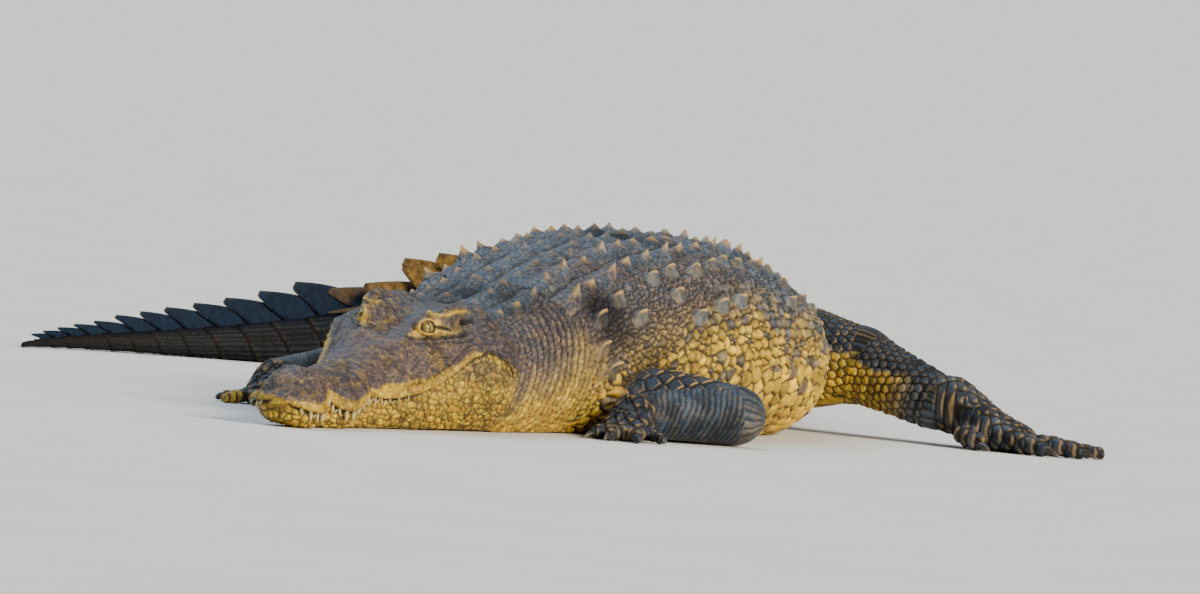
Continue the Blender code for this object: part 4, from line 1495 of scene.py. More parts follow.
        # painted shade: a dark patch under the brow's edge behind the eye, and one in the hollow in front of
        # the eye
        patch = near * bell(np.hypot(t - 0.458, 1.4 * (height - 0.184)), 0.0, 0.013) * (out > 0.06)
        painted_hollow_shade = near * bell(np.hypot(0.8 * (t - 0.34), height - 0.168), 0.0, 0.013)
        marks.dark = marks.dark * (1 - 0.8 * pouch * (yellow > 0.4)) * (1 - 0.8 * brow)
        marks.horn = marks.horn * (1 - 0.7 * brow)
        marks.dark = np.clip(np.maximum(marks.dark, np.maximum(0.95 * patch, 0.7 * painted_hollow_shade)), 0, 1)


# ---- Finishes ----
LAYER = {"output": 2, "data_type": "RGBA"}  # one colour laid over another: 0 is its share, 6 below, 7 above


def linear(code: str) -> tuple[float, ...]:
    """Linear RGBA from the hex code of an sRGB colour."""
    channels = [int(code[i : i + 2], 16) / 255 for i in (0, 2, 4)]
    return tuple(c / 12.92 if c <= 0.04045 else ((c + 0.055) / 1.055) ** 2.4 for c in channels) + (1.0,)


def add_node(
    tree: NodeTree, kind: str, inputs: dict | None = None, output: int | str = 0, **settings: object,
) -> NodeSocket | None:
    """Adds a shader node with its settings and links.

    Args:
        tree: Node tree that the node goes into.
        kind: Blender's name of the node, after "ShaderNode".
        inputs: For the name or number of an input, its value, a hex colour, or an output to link.
        output: Name or number of the output that is wanted.
        **settings: The node's own settings.

    Returns:
        The wanted output, or None where the node has none.
    """
    made = tree.nodes.new("ShaderNode" + kind)
    for name, value in settings.items():
        setattr(made, name, value)
    for place, value in (inputs or {}).items():
        if isinstance(value, NodeSocket):
            tree.links.new(value, made.inputs[place])
        else:
            made.inputs[place].default_value = linear(value) if isinstance(value, str) else value
    return made.outputs[output] if made.outputs else None


def blank_material(name: str) -> tuple[Material, Callable[..., NodeSocket]]:
    """Makes a material without nodes.

    Args:
        name: Its name.

    Returns:
        The material, and the call that adds a node to it.
    """
    material = bpy.data.materials.new(name)
    material.use_nodes = True
    material.node_tree.nodes.clear()
    return material, partial(add_node, material.node_tree)


@dataclass(frozen=True)
class HideFinish:
    """Live crocodile hide: dry keratin scales, grown, dulled by dust and worn on the keels.

    The eye sees a broad weak sheen, mottled slate on the back and ochre below. Its grooves and fine
    cracks are painted near black: painted shade. The keels are paler partly as painted sunlight.
    """

    # dark slate tinted blue: the dark is the hide's own, the blue is painted skylight
    skylit_slate: tuple[str, str] = ("1B2A3E", "40546A")
    tan: str = "746756"
    brown: tuple[str, str] = ("4A3A40", "8E6F4F")
    ochre: tuple[str, str] = ("E0AC12", "956E14")
    straw: str = "F8DA3C"
    # near black, navy above and brown below, over the dark marks: partly the hide's dark bands, partly
    # painted shade, whose blue it carries
    dark_and_shade: tuple[str, str] = ("0B1220", "36230F")
    bone: str = "C29B5C"
    # near black laid into the grooves and fine cracks: painted shade
    groove: str = "15110F"
    patch: float = 14.0  # one cloud of colour is about 70 mm
    mottle: float = 95.0  # 10 mm
    crack: float = 250.0  # 4 mm; real ones are finer, but would not show
    grit: float = 330.0  # 3 mm

    def colour(self, add: Callable[..., NodeSocket], cloud: dict, marks: dict) -> NodeSocket:
        """The hide's colour.

        Args:
            add: Call that adds a node.
            cloud: Noises by name.
            marks: Numbers that are kept on the mesh, by name.

        Returns:
            The output with the colour.
        """
        patch = add("MapRange", {0: cloud["patch"], 1: 0.36, 2: 0.64})
        speck = add("MapRange", {0: cloud["mottle"], 1: 0.46, 2: 0.7})
        above = add("Mix", {0: patch, 6: self.skylit_slate[0], 7: self.skylit_slate[1]}, **LAYER)
        above = add("Mix", {0: speck, 6: above, 7: self.tan}, **LAYER)
        umber = add("Mix", {0: speck, 6: self.brown[0], 7: self.brown[1]}, **LAYER)
        above = add("Mix", {0: marks["warm"], 6: above, 7: umber}, **LAYER)
        below = add("Mix", {0: patch, 6: self.ochre[0], 7: self.ochre[1]}, **LAYER)
        below = add("Mix", {0: speck, 6: below, 7: self.straw}, **LAYER)
        colour = add("Mix", {0: marks["gold"], 6: above, 7: below}, **LAYER)
        dark_and_shade = add("Mix", {0: marks["gold"], 6: self.dark_and_shade[0], 7: self.dark_and_shade[1]}, **LAYER)
        shade = add("Math", {0: marks["dark"], 1: 0.9}, operation="MULTIPLY")
        colour = add("Mix", {0: shade, 6: colour, 7: dark_and_shade}, **LAYER)
        value = add("MapRange", {0: marks["tone"], 3: 0.52, 4: 1.42})
        colour = add("HueSaturation", {"Value": value, "Color": colour})
        crack = add("MapRange", {0: cloud["crack"], 1: 0.0, 2: 0.1, 3: 0.42, 4: 0.0})
        where = add("MapRange", {0: cloud["mottle"], 1: 0.4, 2: 0.62})
        # painted shade: near black in the fine cracks and grooves; pale worn horn between, which on the keels
        # is partly painted sunlight
        for share, scale, over in (
            (crack, where, self.groove), (marks["horn"], 0.9, self.bone),
            (marks["crease"], 0.95, self.groove),
        ):
            share = add("Math", {0: share, 1: scale}, operation="MULTIPLY")
            colour = add("Mix", {0: share, 6: colour, 7: over}, **LAYER)
        return colour

    def build(self) -> Material:
        """Lays out the nodes.

        Returns:
            The material.
        """
        material, add = blank_material("crocodile_hide")
        place = add("TexCoord", output="Object")
        marks = {
            name: add("Attribute", output="Fac", attribute_name=name)
            for name in ("crease", "tone", "gold", "horn", "dark", "warm")
        }
        sizes = (("patch", self.patch, 4.0), ("mottle", self.mottle, 6.0), ("grit", self.grit, 5.0))
        cloud = {
            name: add("TexNoise", {"Vector": place, "Scale": scale, "Detail": detail, "Roughness": 0.65})
            for name, scale, detail in sizes
        }
        cloud["crack"] = add("TexVoronoi", {"Vector": place, "Scale": self.crack}, feature="DISTANCE_TO_EDGE")
        cells = add("MapRange", {0: cloud["crack"], 1: 0.0, 2: 0.12})
        normal = add("Bump", {"Height": cells, "Strength": 0.35, "Distance": 0.001})
        bumps = {"Height": cloud["grit"], "Strength": 0.45, "Distance": 0.0014, "Normal": normal}
        normal = add("Bump", bumps)
        dull = add("MapRange", {0: cloud["mottle"], 1: 0.3, 2: 0.75, 3: 0.34, 4: 0.56})
        rough = add("Math", {0: marks["crease"], 1: 0.2, 2: dull}, operation="MULTIPLY_ADD")
        sheen = add("MapRange", {0: marks["dark"], 3: 0.48, 4: 0.14})
        surface = add("BsdfPrincipled", {
            "Base Color": self.colour(add, cloud, marks), "Roughness": rough, "Normal": normal,
            "IOR": 1.5, "Specular IOR Level": sheen,
        })
        add("OutputMaterial", {"Surface": surface})
        return material


@dataclass(frozen=True)
class CrestFinish:
    """Crest blades: horn plates, grown in layers, worn pale along their edges.

    The eye sees blue-black horn with a low gloss, brown and ochre nearer the root. The blue-black is partly
    painted shade, and the brown high on the blades near the root is partly painted sunlight.
    """

    # dark horn tinted navy: partly painted shade
    horn: tuple[str, str] = ("0A1424", "18293F")
    # brown high up on the blades near the tail's root: partly painted sunlight
    root: tuple[str, str] = ("94723A", "46331F")
    worn: str = "4A4A48"
    streak: str = "0F1016"
    mottle: float = 120.0  # 8 mm
    grain: float = 300.0  # 3 mm

    def build(self) -> Material:
        """Lays out the nodes.

        Returns:
            The material.
        """
        material, add = blank_material("tail_crest_horn")
        place = add("TexCoord", output="Object")
        edge, root, streak = (
            add("Attribute", output="Fac", attribute_name=name) for name in ("edge", "root", "streak")
        )
        cloud = add("TexNoise", {"Vector": place, "Scale": self.mottle, "Detail": 5.0, "Roughness": 0.65})
        speck = add("MapRange", {0: cloud, 1: 0.35, 2: 0.7})
        colour = add("Mix", {0: speck, 6: self.horn[0], 7: self.horn[1]}, **LAYER)
        brown = add("Mix", {0: speck, 6: self.root[0], 7: self.root[1]}, **LAYER)
        colour = add("Mix", {0: root, 6: colour, 7: brown}, **LAYER)
        where = add("MapRange", {0: cloud, 1: 0.4, 2: 0.6, 3: 0.15, 4: 0.75})
        for share, scale, over in ((streak, 0.55, self.streak), (edge, where, self.worn)):
            share = add("Math", {0: share, 1: scale}, operation="MULTIPLY")
            colour = add("Mix", {0: share, 6: colour, 7: over}, **LAYER)
        grain = add("TexNoise", {"Vector": place, "Scale": self.grain, "Detail": 4.0})
        normal = add("Bump", {"Height": grain, "Strength": 0.35, "Distance": 0.001})
        rough = add("MapRange", {0: cloud, 1: 0.3, 2: 0.7, 3: 0.6, 4: 0.8})
        surface = add("BsdfPrincipled", {
            "Base Color": colour, "Roughness": rough, "Normal": normal,
            "IOR": 1.54, "Specular IOR Level": 0.08,
        })
        add("OutputMaterial", {"Surface": surface})
        return material


@dataclass(frozen=True)
class ToothFinish:
    """Tooth enamel over dentine, grown, stained brown at the gum: ivory with a wet gloss."""

    enamel: tuple[str, str] = ("D8C79C", "B79A62")
    gum: str = "7A5A34"
    stain: float = 160.0  # 6 mm

    def build(self) -> Material:
        """Lays out the nodes.

        Returns:
            The material.
        """
        material, add = blank_material("tooth_enamel")
        place = add("TexCoord", output="Object")
        cloud = add("TexNoise", {"Vector": place, "Scale": self.stain, "Detail": 4.0})
        speck = add("MapRange", {0: cloud, 1: 0.3, 2: 0.7})
        colour = add("Mix", {0: speck, 6: self.enamel[0], 7: self.enamel[1]}, **LAYER)
        gum = add("Attribute", output="Fac", attribute_name="gum")
        colour = add("Mix", {0: gum, 6: colour, 7: self.gum}, **LAYER)
        rough = add("MapRange", {0: cloud, 1: 0.3, 2: 0.7, 3: 0.22, 4: 0.38})
        surface = add("BsdfPrincipled", {"Base Color": colour, "Roughness": rough, "IOR": 1.63})
        add("OutputMaterial", {"Surface": surface})
        return material


@dataclass(frozen=True)
class ClawFinish:
    """Claw keratin, grown in a curved sheath: near black, glossy, worn paler at the point."""

    sheath: tuple[str, str] = ("1B1714", "3A3129")
    worn: str = "7C6C57"
    grain: float = 220.0  # 4.5 mm

    def build(self) -> Material:
        """Lays out the nodes.

        Returns:
            The material.
        """
        material, add = blank_material("claw_keratin")
        place = add("TexCoord", output="Object")
        cloud = add("TexNoise", {"Vector": place, "Scale": self.grain, "Detail": 4.0})
        speck = add("MapRange", {0: cloud, 1: 0.35, 2: 0.7})
        colour = add("Mix", {0: speck, 6: self.sheath[0], 7: self.sheath[1]}, **LAYER)
        tip = add("Attribute", output="Fac", attribute_name="tip")
        tip = add("Math", {0: tip, 1: 0.6}, operation="MULTIPLY")
        colour = add("Mix", {0: tip, 6: colour, 7: self.worn}, **LAYER)
        normal = add("Bump", {"Height": cloud, "Strength": 0.3, "Distance": 0.0005})
        rough = add("MapRange", {0: cloud, 1: 0.3, 2: 0.7, 3: 0.26, 4: 0.42})
        surface = add("BsdfPrincipled", {
            "Base Color": colour, "Roughness": rough, "Normal": normal, "IOR": 1.54,
        })
        add("OutputMaterial", {"Surface": surface})
        return material


@dataclass(frozen=True)
class EyeFinish:
    """A living eye: clear wet cornea over a veined pale gold iris, with an upright slit pupil."""

    iris: tuple[str, str] = ("6C6028", "B3A252")
    outer: str = "5A4620"
    rim: str = "140E09"
    pupil: str = "030303"
    vein: float = 900.0  # 1.1 mm

    def build(self) -> Material:
        """Lays out the nodes.

        Returns:
            The material.
        """
        material, add = blank_material("wet_crocodile_eye")
        place = add("TexCoord", output="Object")
        across, away = (add("Attribute", output="Fac", attribute_name=name) for name in ("across", "away"))
        veins = add("TexNoise", {"Vector": place, "Scale": self.vein, "Detail": 6.0, "Roughness": 0.7})
        share = add("MapRange", {0: veins, 1: 0.38, 2: 0.62})
        colour = add("Mix", {0: share, 6: self.iris[0], 7: self.iris[1]}, **LAYER)
        for ramp, over in (
            ({0: away, 1: 0.35, 2: 0.85}, self.outer),
            ({0: away, 1: 0.84, 2: 0.98}, self.rim),
            ({0: across, 1: 0.9, 2: 1.1, 3: 1.0, 4: 0.0}, self.pupil),
        ):
            colour = add("Mix", {0: add("MapRange", ramp), 6: colour, 7: over}, **LAYER)
        surface = add("BsdfPrincipled", {
            "Base Color": colour, "Roughness": 0.05, "IOR": 1.38, "Specular IOR Level": 0.7,
        })
        add("OutputMaterial", {"Surface": surface})
        return material


@dataclass(frozen=True)
class FloorFinish:
    """Matt painted studio floor: pale, even, without gloss."""

    paint: tuple[str, str] = ("D8D6D3", "D4D2CF")
    cloud: float = 3.0  # one faint cloud is about 0.3 m

    def build(self) -> Material:
        """Lays out the nodes.

        Returns:
            The material.
        """
        material, add = blank_material("matt_studio_floor")
        place = add("TexCoord", output="Object")
        cloud = add("TexNoise", {"Vector": place, "Scale": self.cloud, "Detail": 4.0})
        share = add("MapRange", {0: cloud, 1: 0.3, 2: 0.7})
        colour = add("Mix", {0: share, 6: self.paint[0], 7: self.paint[1]}, **LAYER)
        surface = add("BsdfPrincipled", {"Base Color": colour, "Roughness": 0.85, "Specular IOR Level": 0.0})
        add("OutputMaterial", {"Surface": surface})
        return material


# ---- Adding a piece ----
class Slot(Enum):
    """Names of finishes that a piece is passed with; nothing here reads them."""

    HIDE = "dorsal_hide"
    HORN = "claw_horn"
    EYE = "eye"


def place_piece(
    name: str, mesh: Mesh, material: Material, slot: Slot, stands_for: tuple[str, ...] = (),
) -> None:
    """Adds a piece that rides on the crocodile.

    Args:
        name: Name of the piece.
        mesh: Its mesh.
        material: Its finish.
        slot: Not used.
        stands_for: Solids that it replaces.
    """
    mesh.materials.append(material)
    mesh.shade_smooth()
    made = add_object(name, mesh)
    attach(made, "root")
    if stands_for:
        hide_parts(*stands_for)
    LOG.info("%s: %d faces", name, len(mesh.polygons))


# ---- The eyes' places and the skin ----
GIRTH = Girth()


@dataclass(frozen=True)
class EyePlace:
    """Place of one eye and the opening of its lids."""

    side: Side
    long: float = 0.0116  # half the length of the opening
    above: float = 0.0082  # its reach above the eye's middle
    below: float = 0.008  # and below it
    wrap: float = 2.1  # reach of the lids, in radii of the eye
    wrinkle: float = 0.003  # spacing of the wrinkles round the lids
    slit: float = 0.044  # length of the dark line behind the rear corner

    @property
    def centre(self) -> Array:
        """Middle of the eyeball."""
        t, out, high = EYE_CENTRE
        return SPINE.place(SNOUT_S + t, self.side.value * out, high)

    def axes(self) -> tuple[Array, Array, Array]:
        """The eye's own directions.

        Returns:
            Unit vectors to the rear corner, upwards, and along its gaze.
        """
        ahead = SPINE.place(SNOUT_S, 0, 0.05) - SPINE.place(SNOUT_S + 0.01, 0, 0.05)
        s = SNOUT_S + 0.4
        outward = SPINE.place(s, self.side.value * 0.1, 0.05) - SPINE.place(s, 0, 0.05)
        ahead, outward = unit(ahead), unit(outward)
        gaze = unit(0.5 * ahead + 0.78 * outward + np.array([0, 0, 0.36]))
        back = -ahead + np.array([0, 0, 0.06])
        back = unit(back - gaze * (back @ gaze))
        up = np.cross(gaze, back)
        return back, up * np.sign(up[2]), gaze

    def open_lids(self, points: Array) -> tuple[Array, Array, Array, Array]:
        """Wraps the skin round the eyeball and opens it between the lids.

        Args:
            points: World points of the skin.

        Returns:
            The moved points, how much each belongs to the lids, its crease, and how near it
            is to the lids' rim.
        """
        back, up, gaze = self.axes()
        gap = points - self.centre
        distance = np.linalg.norm(gap, axis=1)
        ray = gap / np.maximum(distance, 1e-6)[:, None]
        # distance outside the lids' rim, on the eye's surface
        x, y, z = (EYE_RADIUS * (ray @ axis) for axis in (back, up, gaze))
        tall = np.where(y > 0, self.above, self.below)
        tall = tall * (1 - 0.22 * np.clip(x / self.long, -1, 1) * np.sign(y))
        rim = (np.hypot(x / self.long, y / tall) - 1) * tall
        past = np.where(z > 0, np.maximum(rim, 0), 0.02)
        near = distance < EYE_RADIUS * self.wrap
        lid = EYE_RADIUS + 0.0009 + 0.003 * np.exp(-(((past - 0.0024) / 0.0032) ** 2))
        soft = 0.006 * ease(past, 0.002, 0.01)
        outer = 0.5 * (distance + lid + np.sqrt((distance - lid) ** 2 + soft**2))
        wrapped = np.where((rim < 0) & (z > 0), EYE_RADIUS - 0.004, outer)
        cover = ease(EYE_RADIUS * self.wrap - distance, 0.0, EYE_RADIUS * 0.6)
        reach = mix(distance, wrapped, cover)
        moved = np.where(near[:, None], self.centre + ray * reach[:, None], points)
        belongs = near * cover * (1 - ease(past, 0.002, 0.007))
        # wrinkles round the lids, and the slit behind them, painted dark as creases: painted shade
        folds = (np.abs(np.sin((past - 0.0014) * np.pi / self.wrinkle)) < 0.3) * (past > 0.003)
        line = 0.55 * folds * (1 - ease(past, 0.007, 0.014)) + (np.abs(rim) < 0.0007)
        line = near * (z > 0) * np.clip(line, 0, 1)
        behind = gap @ back - 0.0085
        slit = ease(behind, 0.0, 0.003) * (1 - ease(behind, self.slit - 0.01, self.slit))
        half = 0.003 - 0.03 * np.clip(behind, 0, 0.06)
        slit = slit * bell(gap @ up, -0.34 * behind, half) * (gap @ gaze > 0)
        line = np.maximum(line, 2.0 * slit)
        return moved, belongs, line, near * bell(past, 0.002, 0.0022)


EYES = (EyePlace(Side.LEFT), EyePlace(Side.RIGHT))


@dataclass(frozen=True)
class Skin:
    """The one skin over all of the flesh, with its relief and markings."""

    voxel: float = 0.0037  # size of the cells that it is drawn in
    draft_voxel: float = 0.006  # the same, while the model is being tried
    head: HeadHide = HeadHide()
    trunk: TrunkHide = TrunkHide()
    tail: TailHide = TailHide()
    limb: LimbHide = LimbHide()

    def marks(self, points: Array) -> Marks:
        """Marks for every point, from the part of the body that it belongs to.

        Args:
            points: World points.

        Returns:
            The Marks.
        """
        s, side, height = SPINE.find(points)
        arc, outside = GIRTH.find(s, side, height)
        marks = Marks.blank(len(points))
        trunk = (s >= -0.34) & (s < TAIL_ROOT + 0.03)
        marks.set_where(trunk, self.trunk.marks(s[trunk], side[trunk], arc[trunk], points[trunk]))
        tail = s >= TAIL_ROOT
        share = ease(s[tail], TAIL_ROOT, TAIL_ROOT + 0.02)
        found = self.tail.marks(s[tail], side[tail], arc[tail], height[tail], points[tail])
        marks.set_where(tail, found, share)
        head = s < -0.27
        t = s[head] - SNOUT_S
        border = t + 0.1 * (0.1 - height[head]) + 0.012 * clouds(points[head], 0.05, 90)
        share = 1 - ease(border, 0.535, 0.585)
        marks.set_where(head, self.head.marks(t, side[head], height[head], points[head]), share)
        for limb in LIMBS:
            near = np.linalg.norm(points - limb.places[1], axis=1) < (0.42 if limb.fore else 0.62)
            near &= s > -0.22
            chosen = points[near]
            own = np.minimum(limb.find(chosen)[2], limb.find_foot(chosen)[2])
            share = ease(outside[near] - own, 0.004, 0.026)
            marks.set_where(near, self.limb.marks(limb, chosen), share)
        return marks

    def refined(self, mesh: Mesh) -> None:
        """Halves the cells where the scales are small, and quarters them round the eyes.

        Args:
            mesh: The bare skin, which is changed.
        """
        points = coordinates(mesh)
        s, side, height = SPINE.find(points)
        arc, _ = GIRTH.find(s, side, height)
        fine = (s < -0.22) | (s > -0.3) & (s < 1.1) & (arc < np.where(side > 0, 0.48, 0.28))
        for limb in (LIMBS[0], LIMBS[2]):
            near = np.minimum(limb.find(points)[2], limb.find_foot(points)[2]) < 0.012
            fine |= near & (np.linalg.norm(points - limb.places[2], axis=1) < 0.36)
        refine(mesh, (points[:, 2] > 0.003) & fine)
        points = coordinates(mesh)
        refine(mesh, np.min([np.linalg.norm(points - eye.centre, axis=1) for eye in EYES], axis=0) < 0.045)
        relax(mesh, np.full(len(mesh.vertices), 0.5), 1)

    def build(self, draft: bool) -> Mesh:
        """The skin with its relief and the numbers that its material reads.

        Args:
            draft: Whether to draw it in coarse cells.

        Returns:
            The mesh.
        """
        mesh = bare_skin(self.draft_voxel if draft else self.voxel)
        points = coordinates(mesh)
        s = SPINE.find(points)[0]
        soften = np.where(points[:, 2] < 0.004, 0.3, mix(0.12, 1.0, ease(s, -0.4, -0.28)))
        relax(mesh, soften, 4 if draft else 10)
        if not draft:
            self.refined(mesh)
        LOG.info("bare skin: %d vertices", len(mesh.vertices))
        points = coordinates(mesh)
        belongs, line, rim = (np.zeros(len(points)) for _ in range(3))
        for eye in EYES:
            points, *found = eye.open_lids(points)
            belongs, line, rim = (np.maximum(*pair) for pair in zip((belongs, line, rim), found))
        move(mesh, points)
        marks = self.marks(points)
        lift = marks.height * (1 - belongs) - 0.0011 * line
        points = points + rows(mesh.vertex_normals, "vector") * lift[:, None]
        points[:, 2] = np.maximum(points[:, 2], 0.0)
        move(mesh, points)
        marks.crease = np.maximum(marks.crease * (1 - belongs), line)
        marks.gold = mix(marks.gold, 0.18 + 0.7 * rim, belongs)
        marks.dark = mix(marks.dark, 0.4 * (1 - rim), belongs)
        marks.horn = mix(marks.horn, 0.15, belongs)
        for name in ("crease", "tone", "gold", "horn", "dark", "warm"):
            note(mesh, name, np.clip(getattr(marks, name), 0, 1))
        mesh.shade_smooth()
        return mesh

    def dress(self, draft: bool) -> None:
        """Builds the skin and puts it in place of the flesh."""
        place_piece("skin", self.build(draft), HideFinish().build(), Slot.HIDE, FLESH_NODES)


# ---- Crest, teeth, claws and eyeballs ----
class CrestRow(Enum):
    """The rows of blades on the tail, as the side that each stands on."""

    LEFT = 1
    RIGHT = -1
    MIDDLE = 0


@dataclass(frozen=True)
class Blade:
    """One crest blade: a flap that leans back, thick at its foot and thin at its edge."""

    foot: Array  # on the tail, under its middle
    ahead: Array  # unit vector towards the tail's tip
    up: Array  # unit vector that it rises along
    pitch: float  # distance to the next blade
    height: float
    thick: float  # at its foot
    slope: float  # rise of the tail's top towards its tip
    flare: int  # 1 where its rear stands out to the left, -1 to the right
    seed: int  # makes it a little different from the others
    columns: int = 24  # points along it
    rows: int = 16  # points up it

    def faces(self) -> list[tuple[int, ...]]:
        """Faces of the two sheets and of the strip that joins their borders.

        Returns:
            Numbers of each face's vertices.
        """
        count = self.columns * self.rows
        grid = np.arange(count).reshape(self.columns, self.rows)
        quads = np.stack([grid[:-1, :-1], grid[1:, :-1], grid[1:, 1:], grid[:-1, 1:]], axis=-1).reshape(-1, 4)
        border = np.concatenate([grid[:, 0], grid[-1, 1:], grid[-2::-1, -1], grid[0, -2:0:-1]])
        after = np.roll(border, -1)
        strip = np.stack([border, border + count, after + count, after], axis=-1)
        return [tuple(face) for face in np.concatenate([quads, quads[:, ::-1] + count, strip]).tolist()]

    def build(self) -> tuple[Array, list[tuple[int, ...]], Array, Array, Array]:
        """The blade.

        Returns:
            Vertices, faces, and for every vertex how near it is to the edge, how dark its
            streak is, and how high up it is.
        """
        rng = np.random.default_rng(self.seed)
        wear, bow, turn = rng.uniform(0.9, 1.05), rng.uniform(-0.04, 0.04), rng.uniform(0.075, 0.11)
        side = np.cross(self.ahead, self.up)
        x, h = np.meshgrid(np.linspace(0, 1, self.columns), np.linspace(-0.22, 1, self.rows), indexing="ij")
        rise = np.clip(h, 0, 1)
        front = -1.18 + 0.88 * rise + 1.2 * rise**4
        rear = 0.12 + 1.02 * rise - 0.2 * rise**12 + 0.02 * np.sin(rise * 9 + self.seed)
        along = mix(front, np.maximum(rear, front + 0.03), x)
        edge = np.minimum(np.minimum(x * (rear - front), (1 - x) * (rear - front)) * 1.4, 1 - rise)
        half = self.thick * (0.14 + 0.86 * (1 - rise) ** 0.9) * ease(edge, -0.02, 0.2) ** 0.5 / 2
        streak = 0.5 + 0.5 * np.sin((along * 5 - rise * 2 + self.seed) * 2 * np.pi / 1.7)
        half = np.maximum(half, 0.0003) * (1 + 0.16 * streak)
        sway = bow * self.height * rise**2 + self.flare * turn * along * self.pitch
        lift = h * self.height * wear * (1 - 0.06 * np.maximum(0.0, x - 0.7) / 0.3 * rise)
        follow = self.ahead + np.array([0, 0, self.slope])
        base = self.foot + (along * self.pitch)[..., None] * follow + lift[..., None] * self.up
        sheets = [base + (sign * half + sway)[..., None] * side for sign in (1, -1)]
        verts = np.concatenate([sheet.reshape(-1, 3) for sheet in sheets])
        pale = np.tile((1 - ease(edge, 0.0, 0.11)).ravel(), 2)
        up = np.tile(ease(rise + 0.15 * np.sin(along * 7 + self.seed), 0.3, 0.62).ravel(), 2)
        return verts, self.faces(), pale, np.tile((streak**4 * rise).ravel(), 2), up


@dataclass(frozen=True)
class Crest:
    """The blades along the tail: two rows that give way to a single one."""

    thick: float = 0.008  # of a blade's foot
    least: float = 0.004  # lower blades are left out
    splay: float = 0.24  # lean of the two rows outwards
    brown: tuple[float, float] = (2.32, 2.5)  # s between which the blades turn from brown, partly painted sunlight on their upper parts, to black
    tall: float = 1.22  # height of the flaps, as a share of their solids'

    def blade(self, row: CrestRow, k: int) -> tuple[Blade, float] | None:
        """One blade of a row.

        Args:
            row: The row.
            k: Number of the whorl that it stands on.

        Returns:
            The blade and how brown it is, or None where the row has none there.
        """
        pitch = WHORLS[k + 1] - WHORLS[k]
        s = WHORLS[k] + 0.42 * pitch
        width, top, waist = (float(blend(s, BODY, column)) for column in (1, 2, 3))
        turn = math.radians(float(SPINE.heading(s)))
        ahead = level(turn)
        left = np.array([math.sin(turn), -math.cos(turn), 0.0])
        fade = float(ease(CREST_JOIN[1] - s, 0.0, CREST_JOIN[1] - CREST_JOIN[0]))
        single = row is CrestRow.MIDDLE
        height = float(blend(s, SINGLE_CREST if single else DOUBLE_CREST)) * (1 - fade if single else fade)
        height *= self.tall
        if height < (self.least if single else 3 * self.least):
            return None
        corner = 0.0 if single else (0.16 + 0.36 * fade) * width
        high = waist + (top - waist) * (1 - (corner / width) ** BACK_FULLNESS) ** (1 / BACK_FULLNESS)
        up = unit(np.array([0, 0, 1.0]) + self.splay * row.value * left)
        foot = SPINE.place(s, row.value * corner, high - 0.002)
        thick = min(self.thick, 0.5 * width)
        slope = float(blend(s + 0.03, BODY, 2) - blend(s - 0.03, BODY, 2)) / 0.06
        made = Blade(foot, ahead, up, pitch, height, thick, slope, row.value or -1, 3 * k + row.value + 1)
        return made, float(1 - ease(s, *self.brown))

    def dress(self) -> None:
        """Builds the three rows and dresses them."""
        finish = CrestFinish().build()
        for row in CrestRow:
            found = [self.blade(row, k) for k in range(len(WHORLS) - 1)]
            built = [(*blade.build(), brown) for blade, brown in filter(None, found)]
            name = f"tail_crest_{row.name.lower()}"
            mesh = merged(name, [(verts, faces) for verts, faces, *_ in built])
            note(mesh, "edge", np.concatenate([edge for _, _, edge, *_ in built]))
            note(mesh, "streak", np.concatenate([streak for _, _, _, streak, *_ in built]))
            note(mesh, "root", np.concatenate([brown * up for _, _, _, _, up, brown in built]))
            place_piece(name, mesh, finish, Slot.HIDE)


@dataclass(frozen=True)
class Cone:
    """A curved, pointed cone, such as a tooth or a claw."""

    base: Array
    tip: Array
    radius: float
    flat: float = 0.85  # thickness, as a share of its width
    bend: float = 0.0  # rise of its middle above the straight line
    around: int = 12  # points round it
    steps: int = 9  # rings along it

    def build(self) -> tuple[Array, list[tuple[int, ...]], Array]:
        """Lofts the cone.

        Returns:
            Vertices, faces, and every vertex's share of the way to the point.
        """
        axis = self.tip - self.base
        length = np.linalg.norm(axis)
        axis = axis / length
        one = unit(np.cross(axis, [0.0, 0.0, 1.0] if abs(axis[2]) < 0.9 else [0.0, 1.0, 0.0]))
        two = np.cross(axis, one) * self.flat
        turn = 2 * np.pi * np.arange(self.around)[:, None] / self.around
        rings = []
        for share in np.linspace(0, 1, self.steps):
            size = self.radius * max((1 - share) ** 0.7, 0.05)
            rise = np.array([0, 0, self.bend * math.sin(math.pi * share)])
            centre = self.base + axis * length * share + rise
            rings.append(centre + size * (np.cos(turn) * one + np.sin(turn) * two))
        return (*loft(rings), np.repeat(np.linspace(0, 1, self.steps), self.around))


